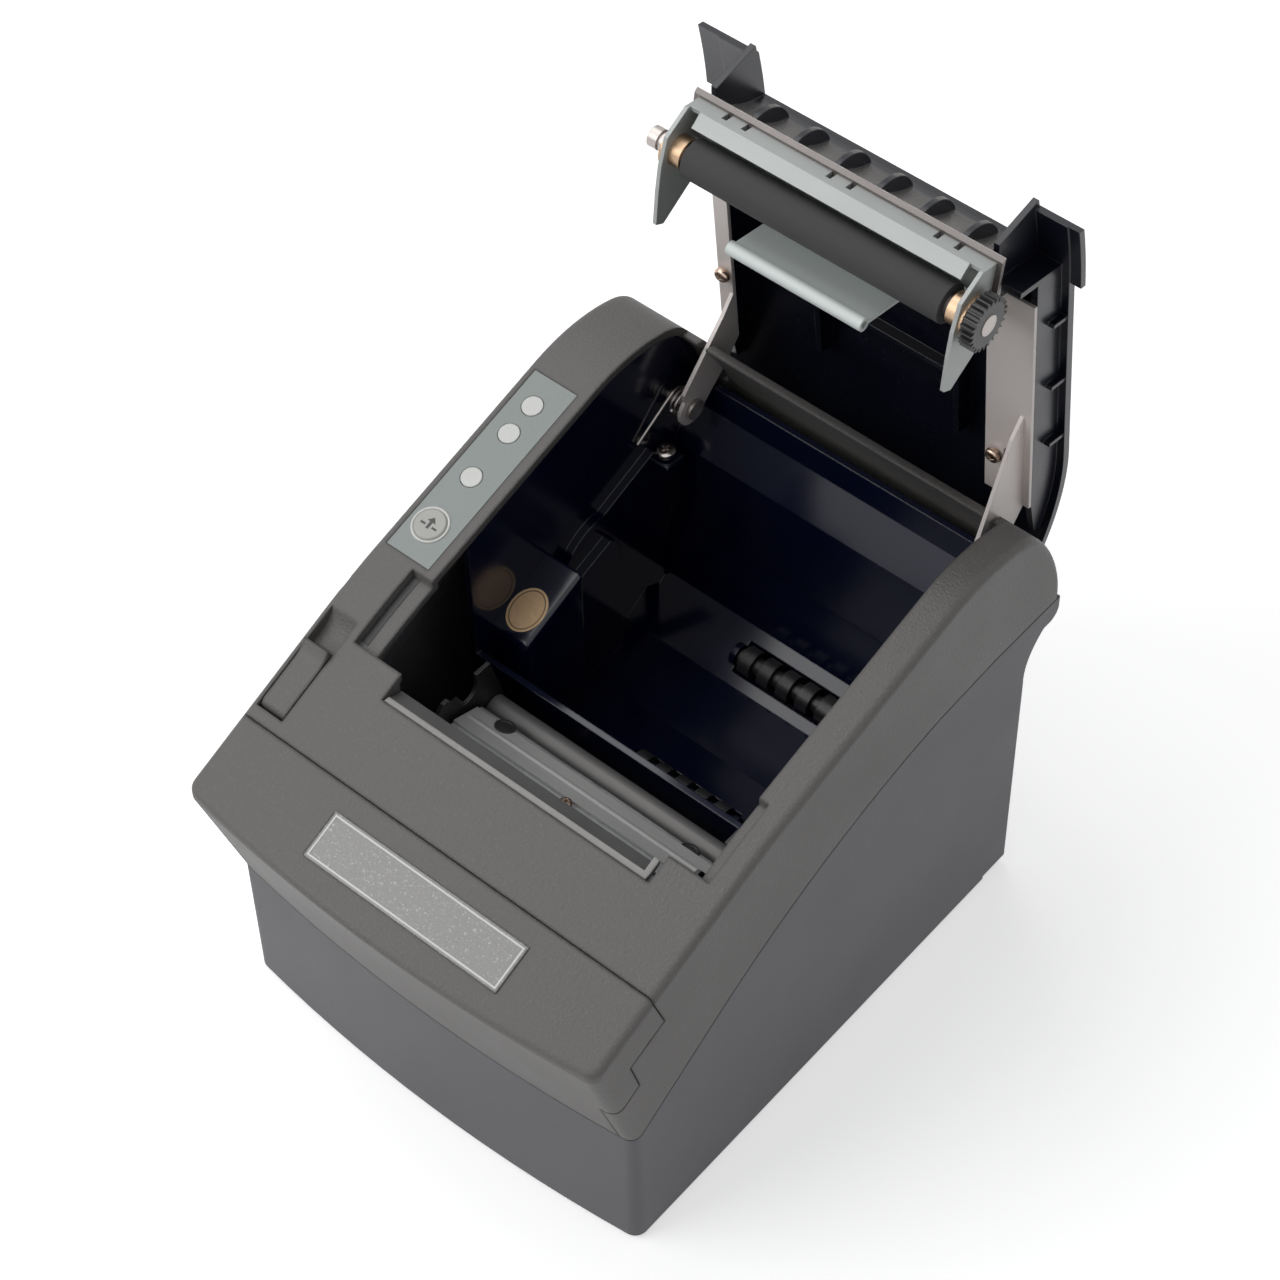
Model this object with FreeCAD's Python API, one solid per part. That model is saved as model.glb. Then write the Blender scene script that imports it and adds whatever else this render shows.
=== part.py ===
import FreeCAD, Part
import math
import os
from FreeCAD import Vector

# Receipt printer with a clamshell lid, in millimetres.
# X runs to the right as seen from the front, Y from front to rear, Z up from the table.
# The lid is modelled closed and then swung open about its hinge.

# Case
CASE_WIDTH = 145.0
BASE_DEPTH = 168.0
BASE_FRONT_HEIGHT = 51.5
LIP_HEIGHT = 100.5
FRONT_LEAN = 14.0
FRONT_BOW = 5.0
FRONT_SLOPE = 22.4
MAIN_SLOPE = 15.7
KNEE_START_Y = 42.0
KNEE_LENGTH = 20.0
CROWN_LENGTH = 38.0
WALL = 2.5
SEAM_GAP = 0.4
TOP_EDGE_RADIUS = 2.2
CORNER_RADIUS = 4.0
FOOT_PROUD = 1.5
FOOT_RADIUS = 6.0
LEFT_RAIL = 21.5
RIGHT_RAIL = 10.2

# Front cover
COVER_SEAM_Y = 8.6
COVER_GAP = 0.4
COVER_TRAVEL = 20.0

# Lid
LID_OPEN_ANGLE = 100.0
LID_SKIN = 2.4
LID_SIDE_GAP = 0.6
LID_EDGE_Y = 56.7
OPENING_FRONT_Y = 39.0
EAR_LEFT = 7.2
EAR_RIGHT = 3.3
EAR_FRONT_Y = 41.0
EAR_REAR_Y = 63.0
EAR_THICKNESS = 2.0
FLANGE_INSET = 2.4
FLANGE_THICKNESS = 2.0
FLANGE_DEPTH = 13.0
GUSSET_YS = (75.6, 99.5, 122.3)
HINGE_PIN_RADIUS = 2.0
PIN_HEAD_RADIUS = 3.2
PIN_HEAD = 1.1
ARM_SHEET = 1.2
ARM_EYE_RADIUS = 5.5
BLADE_THICKNESS = 1.0

# Paper path
PAPER_WIDTH = 80.0
PLATEN_Y = 60.0
PLATEN_Z = 96.0
PLATEN_RADIUS = 5.75
SHAFT_RADIUS = 3.0
BUSH_RADIUS = 4.5
HEAD_TILT = 20.0
ROLLER_RADIUS = 4.5
ROLLER_LENGTH = 36.0
ROLLER_AXLE_RADIUS = 1.5
ROLLER_Z = 48.0
FRONT_ROLLER_Y = 98.6
ROLLER_SPACING = 49.8
BIN_WALL = 2.0

# Drives
GEAR_MODULE = 0.6
PLATEN_TEETH = 24
IDLER_TEETH = 36
REDUCTION_SMALL_TEETH = 16
REDUCTION_LARGE_TEETH = 40
FEED_PINION_TEETH = 12
POST_RADIUS = 2.0
FEED_MOTOR_RADIUS = 17.5
CUTTER_MODULE = 0.8
CUTTER_TEETH = 36
CUTTER_PINION_TEETH = 12
CUTTER_MOTOR_RADIUS = 10.0
BLADE_STROKE = 11.0

# Clearances
RUNNING_FIT = 0.05
SEAT_GAP = 0.02
FREE_GAP = 0.3
BUTTON_TRAVEL = 0.5

# Openings and guides of the case
SLOT_HALF = 46.6
SLOT_FRONT_Y = 31.0
SLOT_WALL_BOTTOM = 109.0
GUIDE_Z = 85.0
GUIDE_FRONT_Y = 14.0
GUIDE_REAR_Y = 40.0
PORT_HALF = 60.0
PORT_BOTTOM = 5.0
PORT_TOP = 37.0

# Controls
PANEL_EDGE = 2.6
PANEL_WIDTH = 15.6
PANEL_FRONT_Y = 65.0
PANEL_REAR_Y = 127.4
FILM_THICKNESS = 0.5
LIGHT_RADIUS = 3.1
LIGHT_YS = (92.6, 108.3, 118.2)
BUTTON_RADIUS = 4.8
BUTTON_Y = 75.6
BOARD_DROP = 9.4
SWITCH_TOP = -7.6
LAMP_TOP = -8.2
LEVER_EDGE = 6.8
LEVER_WIDTH = 8.6
LEVER_LENGTH = 21.6
LEVER_FRONT_Y = 13.0
LEVER_NOSE_RADIUS = 2.6
LEVER_PIN_RADIUS = 1.25
LEVER_PIN_ALONG = 2.4
SCOOP_RADIUS = 12.0

# Lid details
LID_END_RADIUS = 21.9
EXIT_HALF = 44.4
EXIT_WALL = 1.8
EXIT_WALL_FRONT_Y = 38.2
EXIT_WALL_DEPTH = 17.0
BEAM_Z = 108.7
BEAM_FRONT_Y = 50.0
BEAM_DEPTH = 14.0
BEAM_CELLS = 5
OUTLET_RIBS = 6
OUTLET_RIB_PITCH = 13.6
OUTLET_RIB = 1.6
ARM_FRONT_Y = 66.0
ARM_REAR_Y = 146.0
ARM_STRIP_LEFT = 5.0
ARM_STRIP_RIGHT = 14.8
ARM_SLOT_GAP = 0.9
SCREW_RADIUS = 1.25
SCREW_HEAD_RADIUS = 2.4
SCREW_HEAD_HEIGHT = 1.6
SCREW_BITE = 3.0
BASE_SCREW_RADIUS = 1.5
BASE_SCREW_LENGTH = 8.0
BRACKET_FRONT_Y = 48.0
BRACKET_REAR_Y = 73.0
CHEEK_X = 46.6
NOTCH_SPACING = 34.0
GUIDE_PLATE_HALF = 22.0
FIXED_BLADE_HALF = 49.5
PLATEN_HALF = 41.5
SPRING_RADIUS = 3.6
SPRING_WIRE = 0.9
SPRING_SIDES = 8
SPRING_PITCH = 1.4
SPRING_QUARTERS = 11
SPRING_START = math.radians(126.6)
SPRING_REAR_LEG = 17.0
SPRING_FRONT_LEG = 7.0

# Paper bin
BIN_FRONT_Y = 79.5
BIN_FRONT_TOP = 86.0
BIN_FLOOR_Z = 43.0
BIN_FLAT_FRONT = 118.0
BIN_FLAT_REAR = 141.0
POCKET_GAP = 0.5
EYE_THICKNESS = 2.0
ROLLER_RINGS = 5

# Print mechanism
FRAME_HALF = 44.2
FRAME_FRONT_Y = 20.0
FRAME_REAR_Y = 75.5
FRAME_BOTTOM = 41.0
TIE_Z = 70.0
HEAD_HALF = 42.8
HEAD_PIN_RADIUS = 1.5
HEAD_PIVOT = (-6.5, -8.0)
GUIDE_BAR_Y = 70.0
GUIDE_BAR_Z = 80.0
GUIDE_BAR_END = 2.5
RIBBON_X0 = -20.0
RIBBON_X1 = 10.0
RIBBON_Y = 44.0
GEAR_A = (46.0, 49.0)
GEAR_B = (49.4, 53.4)

# Cutter
CUTTER_FLOOR = 97.5
CUTTER_FRONT_Y = -6.0
CUTTER_REAR_Y = 39.0
CUTTER_GEAR_Y = 16.0
CUTTER_GEAR_Z = (98.7, 102.3)
BLADE_Z = 105.2
BLADE_HALF = 41.8
RACK_TEETH = 8
RACK_TEETH_AHEAD = 6

# Electronics
BOARD_HALF = 45.5
BOARD_LENGTH = 68.5
BOARD_Z = 9.0
PLATE_SHEET = 1.2
PLATE_GAP = 0.2
PORT_PROUD = 0.5
SWITCH_Z = 22.0
ROCKER_ANGLE = 14.0
PORTS = {"power": -38.0, "drawer": -19.0, "usb": -2.0, "network": 15.0, "switch": 40.0}

HALF = CASE_WIDTH / 2
FLOOR_Z = FOOT_PROUD + WALL
OPEN_LEFT = LEFT_RAIL - HALF
OPEN_RIGHT = HALF - RIGHT_RAIL
PAPER_X = (OPEN_LEFT + OPEN_RIGHT) / 2
FAR = 60.0
UP = Vector(0, 0, 1)
ALONG_X = Vector(1, 0, 0)


def rise(run, slope):
    return run * math.tan(math.radians(slope))


KNEE_START = (KNEE_START_Y, LIP_HEIGHT + rise(KNEE_START_Y + FRONT_LEAN, FRONT_SLOPE))
KNEE_END = (KNEE_START_Y + KNEE_LENGTH,
            KNEE_START[1] + rise(KNEE_LENGTH, (FRONT_SLOPE + MAIN_SLOPE) / 2))
CROWN_START = (BASE_DEPTH - CROWN_LENGTH,
               KNEE_END[1] + rise(BASE_DEPTH - CROWN_LENGTH - KNEE_END[0], MAIN_SLOPE))
HUMP_REAR_Y = BASE_DEPTH + 14.3
SEAM_REAR_Z = CROWN_START[1] - 40.4
HINGE_Y = BASE_DEPTH - 5.0
HINGE_Z = CROWN_START[1] - 27.6
LID_REAR_Y = BASE_DEPTH - 1.0

PANEL_LEFT = PANEL_EDGE - HALF
LIGHT_X = PANEL_LEFT + PANEL_WIDTH / 2 - 0.9
LEVER_X = LEVER_EDGE - HALF
LEVER_PIN_OUT = -LEVER_NOSE_RADIUS
BIN_LEFT = OPEN_LEFT - 0.2
BIN_RIGHT = OPEN_RIGHT + 0.2
LID_LEFT = OPEN_LEFT + LID_SIDE_GAP
LID_RIGHT = OPEN_RIGHT - LID_SIDE_GAP
ARM_LEFT_EDGE = LID_LEFT + FLANGE_INSET
ARM_RIGHT_EDGE = LID_RIGHT - FLANGE_INSET
LEFT_ARM_X = ARM_LEFT_EDGE + ARM_STRIP_LEFT - ARM_SHEET
RIGHT_ARM_X = ARM_RIGHT_EDGE - 3.5
PIN_LEFT_END = BIN_LEFT - BIN_WALL - 4.0
PIN_RIGHT_END = BIN_RIGHT + BIN_WALL + 3.0
SPRING_X = BIN_LEFT + 1.8
PLATE_Y = BASE_DEPTH - WALL - PLATE_GAP - PLATE_SHEET
BLADE_SEAT_Z = BLADE_Z - FREE_GAP - BLADE_THICKNESS
PORT_FACE_Y = PLATE_Y + PLATE_SHEET + PORT_PROUD
BOARD_REAR_Y = PLATE_Y - 0.6
BOARD_FRONT_Y = BOARD_REAR_Y - BOARD_LENGTH
CUTTER_GEAR_X = PAPER_X - 3.6
CUTTER_PINION_X = CUTTER_GEAR_X - CUTTER_MODULE * (CUTTER_TEETH + CUTTER_PINION_TEETH) / 2


def from_crown(dy, dz):
    """Point measured from where the rear crown begins."""
    return (CROWN_START[0] + dy, CROWN_START[1] + dz)


def top_height(y):
    """Height of the outer top surface on its two flat stretches."""
    if y <= KNEE_START[0]:
        return KNEE_START[1] - rise(KNEE_START[0] - y, FRONT_SLOPE)
    return KNEE_END[1] + rise(y - KNEE_END[0], MAIN_SLOPE)


STRIP_RISE = (CROWN_START[1] - KNEE_END[1] - 1.0) / (CROWN_START[0] - KNEE_END[0])


def flange_edge(y):
    """Height of the free edge of the lid's side walls, on which the arms lie."""
    return KNEE_END[1] - FLANGE_DEPTH + STRIP_RISE * (y - KNEE_END[0])


# Basic solids

def at(y, z, x=0.0):
    return Vector(x, y, z)


def line_to(y, z):
    return ("line", at(y, z), None)


def arc_to(via, end):
    return ("arc", at(*end), at(*via))


def bend_to(y, z):
    """Arc that leaves along the heading of the stretch before it."""
    return ("bend", at(y, z), None)


def bend_middle(start, heading, end):
    chord = end - start
    along = Vector(chord).normalize()
    side = heading - along * heading.dot(along)
    turn = math.acos(max(-1.0, min(1.0, heading.dot(along))))
    sagitta = chord.Length / 2 * math.tan(turn / 2)
    return (start + end) * 0.5 + side.normalize() * sagitta


def outline(start, *moves):
    """Closed face in the Y-Z plane."""
    here = at(*start)
    heading = None
    edges = []
    for kind, target, via in moves:
        if kind == "line":
            edge = Part.LineSegment(here, target).toShape()
        elif kind == "arc":
            edge = Part.Arc(here, via, target).toShape()
        else:
            edge = Part.Arc(here, bend_middle(here, heading, target), target).toShape()
        heading = edge.tangentAt(edge.LastParameter)
        edges.append(edge)
        here = target
    edges.append(Part.LineSegment(here, at(*start)).toShape())
    return Part.Face(Part.Wire(edges))


def polygon(points):
    return outline(points[0], *[line_to(*point) for point in points[1:]])


def prism(face, x0, x1):
    return face.translated(Vector(x0, 0, 0)).extrude(Vector(x1 - x0, 0, 0))


def block(x0, x1, y0, y1, z0, z1):
    return Part.makeBox(x1 - x0, y1 - y0, z1 - z0, Vector(x0, y0, z0))


def rod(radius, x0, x1, y, z):
    return Part.makeCylinder(radius, x1 - x0, Vector(x0, y, z), ALONG_X)


def post(radius, z0, z1, x, y):
    return Part.makeCylinder(radius, z1 - z0, Vector(x, y, z0), UP)


def fuse(*shapes):
    return shapes[0].multiFuse(list(shapes[1:])).removeSplitter()


def group(*shapes):
    return Part.makeCompound(list(shapes))


def mirrored_pair(shape):
    """The shape and its mirror image about the middle of the paper path."""
    return [shape, shape.mirror(Vector(PAPER_X, 0, 0), ALONG_X)]


def tilted(shape, angle, y, z):
    """Shape built about the origin, turned about X and moved to its place."""
    placed = shape.copy()
    placed.rotate(Vector(0, 0, 0), ALONG_X, angle)
    placed.translate(at(y, z))
    return placed


def on_top(shape, y):
    """Shape built with Z out of the surface, set on the flat stretch of the top at y."""
    slope = FRONT_SLOPE if y <= KNEE_START[0] else MAIN_SLOPE
    return tilted(shape, slope, y, top_height(y))


def pan_screw(head_radius, head_height, shank_radius, shank_length):
    """Flat-topped screw standing on Z = 0 with its shank below."""
    head = Part.makeCylinder(head_radius, head_height)
    shank = Part.makeCylinder(shank_radius, shank_length, Vector(0, 0, -shank_length))
    return fuse(head, shank)


# Gears

def involute(angle):
    return math.tan(angle) - angle


def gear_outline(teeth, module, phase):
    """Corners of a spur gear, as (angle, radius), with a tooth centred on the phase angle."""
    pressure = math.radians(20)
    pitch_radius = teeth * module / 2
    base_radius = pitch_radius * math.cos(pressure)
    backlash = 0.2 * module
    half_at_base = math.pi / (2 * teeth) - backlash / (2 * pitch_radius) + involute(pressure)
    tip = pitch_radius + 0.85 * module
    root = pitch_radius - 1.2 * module
    half_tip = half_at_base - involute(math.acos(base_radius / tip))
    half_root = half_at_base
    if root > base_radius:
        half_root = half_at_base - involute(math.acos(base_radius / root))
    corners = []
    for tooth in range(teeth):
        middle = phase + tooth * 2 * math.pi / teeth
        corners.append((middle - half_root, root))
        corners.append((middle - half_tip, tip))
        corners.append((middle + half_tip, tip))
        corners.append((middle + half_root, root))
    return corners


def gear_x(teeth, module, phase, x0, x1, y, z):
    points = [(y + r * math.cos(a), z + r * math.sin(a)) for a, r in gear_outline(teeth, module, phase)]
    return prism(polygon(points), x0, x1)


def gear_z(teeth, module, phase, z0, z1, x, y):
    corners = gear_outline(teeth, module, phase)
    points = [Vector(x + r * math.cos(a), y + r * math.sin(a), z0) for a, r in corners]
    return Part.Face(Part.makePolygon(points + points[:1])).extrude(Vector(0, 0, z1 - z0))


def meshed_phase(phase, teeth, other_teeth, direction):
    """Phase of a gear that meshes with another one lying in the given direction from it."""
    pitch = 2 * math.pi / teeth
    other_pitch = 2 * math.pi / other_teeth
    offset = ((direction - phase) / pitch) % 1.0
    return direction + math.pi + (offset + 0.5) * other_pitch


def centre_distance(module, teeth, other_teeth):
    return module * (teeth + other_teeth) / 2


# Case envelope

def case_profile():
    """Side view of the whole closed case, run on past the front, which the bow trims."""
    front_y = -FRONT_LEAN - FAR
    return outline((front_y, FOOT_PROUD),
                   line_to(front_y, top_height(front_y)),
                   line_to(*KNEE_START),
                   bend_to(*KNEE_END),
                   line_to(*CROWN_START),
                   bend_to(*from_crown(32.0, -0.7)),
                   bend_to(*from_crown(39.5, -6.0)),
                   bend_to(*from_crown(51.0, -29.6)),
                   bend_to(HUMP_REAR_Y, SEAM_REAR_Z),
                   line_to(HUMP_REAR_Y, SEAM_REAR_Z - 4.0),
                   bend_to(HUMP_REAR_Y - 4.0, SEAM_REAR_Z - 8.0),
                   line_to(HUMP_REAR_Y - 6.5, SEAM_REAR_Z - 8.0),
                   arc_to((BASE_DEPTH + 2.3, SEAM_REAR_Z - 14.0), (BASE_DEPTH, SEAM_REAR_Z - 25.0)),
                   line_to(BASE_DEPTH, FOOT_PROUD))


def bow(inset):
    """Turned solid whose front is the bowed base and the forward-leaning front above it."""
    radius = (HALF ** 2 + FRONT_BOW ** 2) / (2 * FRONT_BOW)
    axis_y = radius - FRONT_BOW
    base_y = inset - FRONT_BOW
    lip_y = base_y - FRONT_LEAN
    face = polygon([(axis_y, -FAR),
                    (base_y, -FAR),
                    (base_y, BASE_FRONT_HEIGHT),
                    (lip_y, LIP_HEIGHT - 3.5),
                    (lip_y, 4 * FAR),
                    (axis_y, 4 * FAR)])
    return face.revolve(at(axis_y, 0), UP, 360)


def envelope(inset):
    """Whole case shape, drawn in by the inset all round, with sharp edges."""
    face = case_profile()
    if inset > 0:
        face = face.makeOffset2D(-inset, join=0, fill=False)
        face = Part.Face(Part.Wire(face.Edges))
    return prism(face, inset - HALF, HALF - inset).common(bow(inset))


def below_seam(lift):
    face = outline((-FRONT_LEAN - FAR, -FAR),
                   line_to(-FRONT_LEAN - FAR, BASE_FRONT_HEIGHT),
                   line_to(0.5, BASE_FRONT_HEIGHT),
                   line_to(34.0, BASE_FRONT_HEIGHT + 21.4),
                   bend_to(BASE_DEPTH - 40.0, SEAM_REAR_Z - 1.7),
                   line_to(BASE_DEPTH - 16.0, SEAM_REAR_Z),
                   line_to(HUMP_REAR_Y + FAR, SEAM_REAR_Z),
                   line_to(HUMP_REAR_Y + FAR, -FAR))
    return prism(face.translated(at(0, lift)), -CASE_WIDTH, CASE_WIDTH)


def on_side(edge):
    return all(abs(abs(vertex.X) - HALF) < 1e-4 for vertex in edge.Vertexes)


def lower_outer():
    """Base below the seam with its two front corners rounded."""
    solid = envelope(0).common(below_seam(0))
    corners = [edge for edge in solid.Edges if on_side(edge) and edge.BoundBox.YMax < 0.1]
    return solid.makeFillet(CORNER_RADIUS, corners)


def upper_outer():
    """Top above the seam with rounded front corners and a rounded top edge."""
    solid = envelope(0).cut(below_seam(SEAM_GAP))
    corners = [edge for edge in solid.Edges if on_side(edge) and edge.BoundBox.YMax < 0.2]
    solid = solid.makeFillet(CORNER_RADIUS, corners)
    side_faces = [face for face in solid.Faces if abs(abs(face.CenterOfMass.x) - HALF) < 1e-4]
    rim = []
    for face in side_faces:
        for edge in face.Edges:
            middle = edge.valueAt((edge.FirstParameter + edge.LastParameter) / 2)
            above = middle.z > top_height(min(middle.y, CROWN_START[0])) - 1.0
            behind = middle.y > CROWN_START[0] + 5.0 and middle.z > SEAM_REAR_Z + 1.0
            if above or behind:
                rim.append(edge)
    lip = [edge for edge in solid.Edges
           if edge.BoundBox.YMax < 0 and edge.BoundBox.XLength > 5 and edge.BoundBox.ZMin > LIP_HEIGHT - 3.0]
    return solid.makeFillet(TOP_EDGE_RADIUS, rim + lip)


def local_point(y, along, out):
    """Place (y, z) of a point given along and out of the top surface, from its point at y."""
    slope = math.radians(FRONT_SLOPE if y <= KNEE_START[0] else MAIN_SLOPE)
    return (y + along * math.cos(slope) - out * math.sin(slope),
            top_height(y) + along * math.sin(slope) + out * math.cos(slope))


# Case shells

def cover_region(grow):
    """Space of the front cover: a stepped side joint, and the front face down to the base."""
    corner_z = top_height(COVER_SEAM_Y)
    low_z = corner_z - 35.8
    face = polygon([(COVER_SEAM_Y, 4 * FAR),
                    (COVER_SEAM_Y, corner_z - 2.0),
                    (COVER_SEAM_Y + 3.9, corner_z - 13.4),
                    (COVER_SEAM_Y - 9.7, corner_z - 19.4),
                    (COVER_SEAM_Y - 6.4, corner_z - 31.5),
                    (COVER_SEAM_Y - 14.5, low_z),
                    (-FRONT_LEAN - FAR, low_z),
                    (-FRONT_LEAN - FAR, 4 * FAR)])
    if grow > 0:
        face = Part.Face(Part.Wire(face.makeOffset2D(grow, join=2).Edges))
    half = HALF - CORNER_RADIUS - 1.0 + grow
    front = block(-half, half, -FAR, 3.0 + grow, BASE_FRONT_HEIGHT - FAR, low_z + 1.0)
    return fuse(prism(face, -CASE_WIDTH, CASE_WIDTH), front)


def lid_plan(inset):
    """Plan of the lid and its two front ears as upright blocks, drawn in by the inset."""
    front = OPENING_FRONT_Y + inset
    main = block(OPEN_LEFT + inset, OPEN_RIGHT - inset, front, LID_REAR_Y + LID_SIDE_GAP - inset,
                 BASE_FRONT_HEIGHT, 4 * FAR)
    ears = block(OPEN_LEFT - EAR_LEFT + inset, OPEN_RIGHT + EAR_RIGHT - inset, front, EAR_REAR_Y - inset,
                 BASE_FRONT_HEIGHT, 4 * FAR)
    return fuse(main, ears)


def lid_end_path():
    """Ring about the hinge that the rear end of the lid sweeps between the rails."""
    ring = rod(FAR, OPEN_LEFT, OPEN_RIGHT, HINGE_Y, HINGE_Z)
    ring = ring.cut(rod(LID_END_RADIUS - 0.5, OPEN_LEFT, OPEN_RIGHT, HINGE_Y, HINGE_Z))
    behind = block(OPEN_LEFT, OPEN_RIGHT, HINGE_Y - 2.0, HINGE_Y + FAR, HINGE_Z - 9.0, HINGE_Z + FAR)
    return ring.common(behind)


def arm_slots():
    """Slots through the rear wall that let the lid arms swing to the open stop."""
    slots = []
    for x in (LEFT_ARM_X, RIGHT_ARM_X):
        slots.append(block(x - ARM_SLOT_GAP, x + ARM_SHEET + ARM_SLOT_GAP, HINGE_Y + 2.0, HINGE_Y + FAR,
                           HINGE_Z - 1.5, HINGE_Z + FAR))
    return slots


def exit_slot():
    return block(PAPER_X - SLOT_HALF, PAPER_X + SLOT_HALF, SLOT_FRONT_Y, OPENING_FRONT_Y + 1.0,
                 BASE_FRONT_HEIGHT, 4 * FAR)


def exit_walls():
    """Wall in front of the paper exit with its two short returns."""
    front = block(PAPER_X - SLOT_HALF - BIN_WALL, PAPER_X + SLOT_HALF + BIN_WALL,
                  SLOT_FRONT_Y - BIN_WALL, SLOT_FRONT_Y, SLOT_WALL_BOTTOM, 4 * FAR)
    side = block(PAPER_X + SLOT_HALF, PAPER_X + SLOT_HALF + BIN_WALL,
                 SLOT_FRONT_Y - BIN_WALL, OPENING_FRONT_Y - 1.0, SLOT_WALL_BOTTOM, 4 * FAR)
    return fuse(front, *mirrored_pair(side))


def ear_shelves():
    """Ledges that carry the ears of the closed lid."""
    y0 = OPENING_FRONT_Y - 2.0
    y1 = EAR_REAR_Y + 2.0
    near_top = polygon([(y0, top_height(y0) - 7.0),
                        (y1, top_height(KNEE_END[0]) - 7.0),
                        (y1, 4 * FAR),
                        (y0, 4 * FAR)])
    left = prism(near_top, OPEN_LEFT - EAR_LEFT - 2.0, OPEN_LEFT)
    right = prism(near_top, OPEN_RIGHT, OPEN_RIGHT + EAR_RIGHT + 2.0)
    return fuse(left, right).common(envelope(WALL)).cut(envelope(WALL + 2.2))


def panel_local(y):
    """Distance up the slope of the control panel from its front end."""
    return (y - PANEL_FRONT_Y) / math.cos(math.radians(MAIN_SLOPE))


def panel_cuts():
    """Recess for the film, and the holes for the lights and the button."""
    length = panel_local(PANEL_REAR_Y)
    recess = block(PANEL_LEFT, PANEL_LEFT + PANEL_WIDTH, 0, length, -FILM_THICKNESS, 5)
    return on_top(fuse(recess, *panel_holes()), PANEL_FRONT_Y)


def panel_holes():
    """Holes through the skin and the film for the lights and the button."""
    holes = []
    for y in LIGHT_YS:
        holes.append(Part.makeCylinder(LIGHT_RADIUS + 0.2, 20, Vector(LIGHT_X, panel_local(y), -10)))
    holes.append(Part.makeCylinder(BUTTON_RADIUS + 0.4, 20, Vector(LIGHT_X, panel_local(BUTTON_Y), -10)))
    return holes


def board_posts():
    """Two square posts that carry the panel board."""
    side = 1.8
    posts = []
    for end in (panel_local(PANEL_FRONT_Y) + 2.6, panel_local(PANEL_REAR_Y) - 2.6):
        posts.append(block(LIGHT_X - side, LIGHT_X + side, end - side, end + side, -BOARD_DROP, -2.0))
    return on_top(group(*posts), PANEL_FRONT_Y)


def lever_cuts():
    """Slot for the lever, the hole for its pin and the finger scoop behind it."""
    half = LEVER_WIDTH / 2 + 0.4
    front = LEVER_PIN_ALONG - LEVER_NOSE_RADIUS - 0.4
    slot = block(LEVER_X - half, LEVER_X + half, front, LEVER_LENGTH + 0.4, -20, 5)
    scoop = rod(SCOOP_RADIUS, LEVER_X - half, LEVER_X + half, LEVER_LENGTH + 3.0, SCOOP_RADIUS - 3.5)
    pin = rod(LEVER_PIN_RADIUS + SEAT_GAP, LEVER_X, LEVER_X + half + 3.0, LEVER_PIN_ALONG, LEVER_PIN_OUT)
    return on_top(fuse(slot, scoop, pin), LEVER_FRONT_Y)


def lever_supports():
    """Thick pad under the finger scoop, and the ear that holds the lever pin."""
    inner = WALL - HALF
    edge = LEVER_X + LEVER_WIDTH / 2
    pad = block(inner - 0.5, edge + 2.0, LEVER_LENGTH + 0.4, LEVER_LENGTH + 13.0, -5.5, -1.0)
    ear = block(edge + 0.7, edge + 2.7, -1.0, 6.0, -5.6, -1.0)
    return on_top(group(pad, ear), LEVER_FRONT_Y)


def cover_guides():
    """Ledges on the side walls that the tongues of the front cover run between."""
    inner = HALF - WALL
    reach = 5.0
    ledges = []
    for z0 in (GUIDE_Z - 1.5 - FREE_GAP - 1.6, GUIDE_Z + 1.5 + FREE_GAP):
        ledge = block(inner - reach, inner + 0.5, GUIDE_FRONT_Y, GUIDE_REAR_Y, z0, z0 + 1.6)
        ledges.append(ledge)
        ledges.append(ledge.mirror(Vector(0, 0, 0), ALONG_X))
    return group(*ledges)


def pin_bosses():
    """Tubes on the side walls that hold the outer ends of the hinge pins."""
    left = rod(4.5, WALL - HALF - 0.5, BIN_LEFT - BIN_WALL - FREE_GAP, HINGE_Y, HINGE_Z)
    right = rod(4.5, BIN_RIGHT + BIN_WALL + FREE_GAP, HALF - WALL + 0.5, HINGE_Y, HINGE_Z)
    hole = rod(HINGE_PIN_RADIUS + SEAT_GAP, PIN_LEFT_END, PIN_RIGHT_END, HINGE_Y, HINGE_Z)
    return fuse(left, right).cut(hole)


def upper_case(outer):
    skin = outer.cut(envelope(WALL)).cut(cover_region(COVER_GAP))
    skin = skin.cut([lid_plan(0), lid_end_path(), exit_slot(), panel_cuts()] + arm_slots())
    walls = exit_walls().common(envelope(WALL - 0.5))
    skin = fuse(skin, walls, ear_shelves(), *lever_supports().Solids, *board_posts().Solids)
    skin = fuse(skin, *cover_guides().Solids, *pin_bosses().Solids)
    return skin.cut(lever_cuts())


def front_cover(outer):
    """Front cover with the two tongues that guide it as it is pulled off forwards."""
    skin = outer.cut(envelope(WALL)).common(cover_region(0))
    inner = HALF - WALL
    front = GUIDE_FRONT_Y - 20.0
    root = block(inner - 4.5, inner + 0.5, front, front + 5.5, GUIDE_Z - 1.5, GUIDE_Z + 1.5)
    runner = block(inner - 4.5, inner - 0.5, front, GUIDE_REAR_Y - 4.0, GUIDE_Z - 1.5, GUIDE_Z + 1.5)
    tongue = fuse(root, runner)
    return fuse(skin, tongue, tongue.mirror(Vector(0, 0, 0), ALONG_X))


def seam_tongue():
    """Inner lip of the base that closes the seam from behind."""
    behind_cover = block(-HALF, HALF, GUIDE_FRONT_Y, HUMP_REAR_Y, 0, 4 * FAR)
    lip = envelope(WALL + 0.15).common(below_seam(2.4)).cut(below_seam(-4.0))
    root = envelope(WALL - 0.3).common(below_seam(-1.0)).cut(below_seam(-4.0))
    return fuse(lip, root).cut(envelope(WALL + 1.4)).common(behind_cover)


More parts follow.
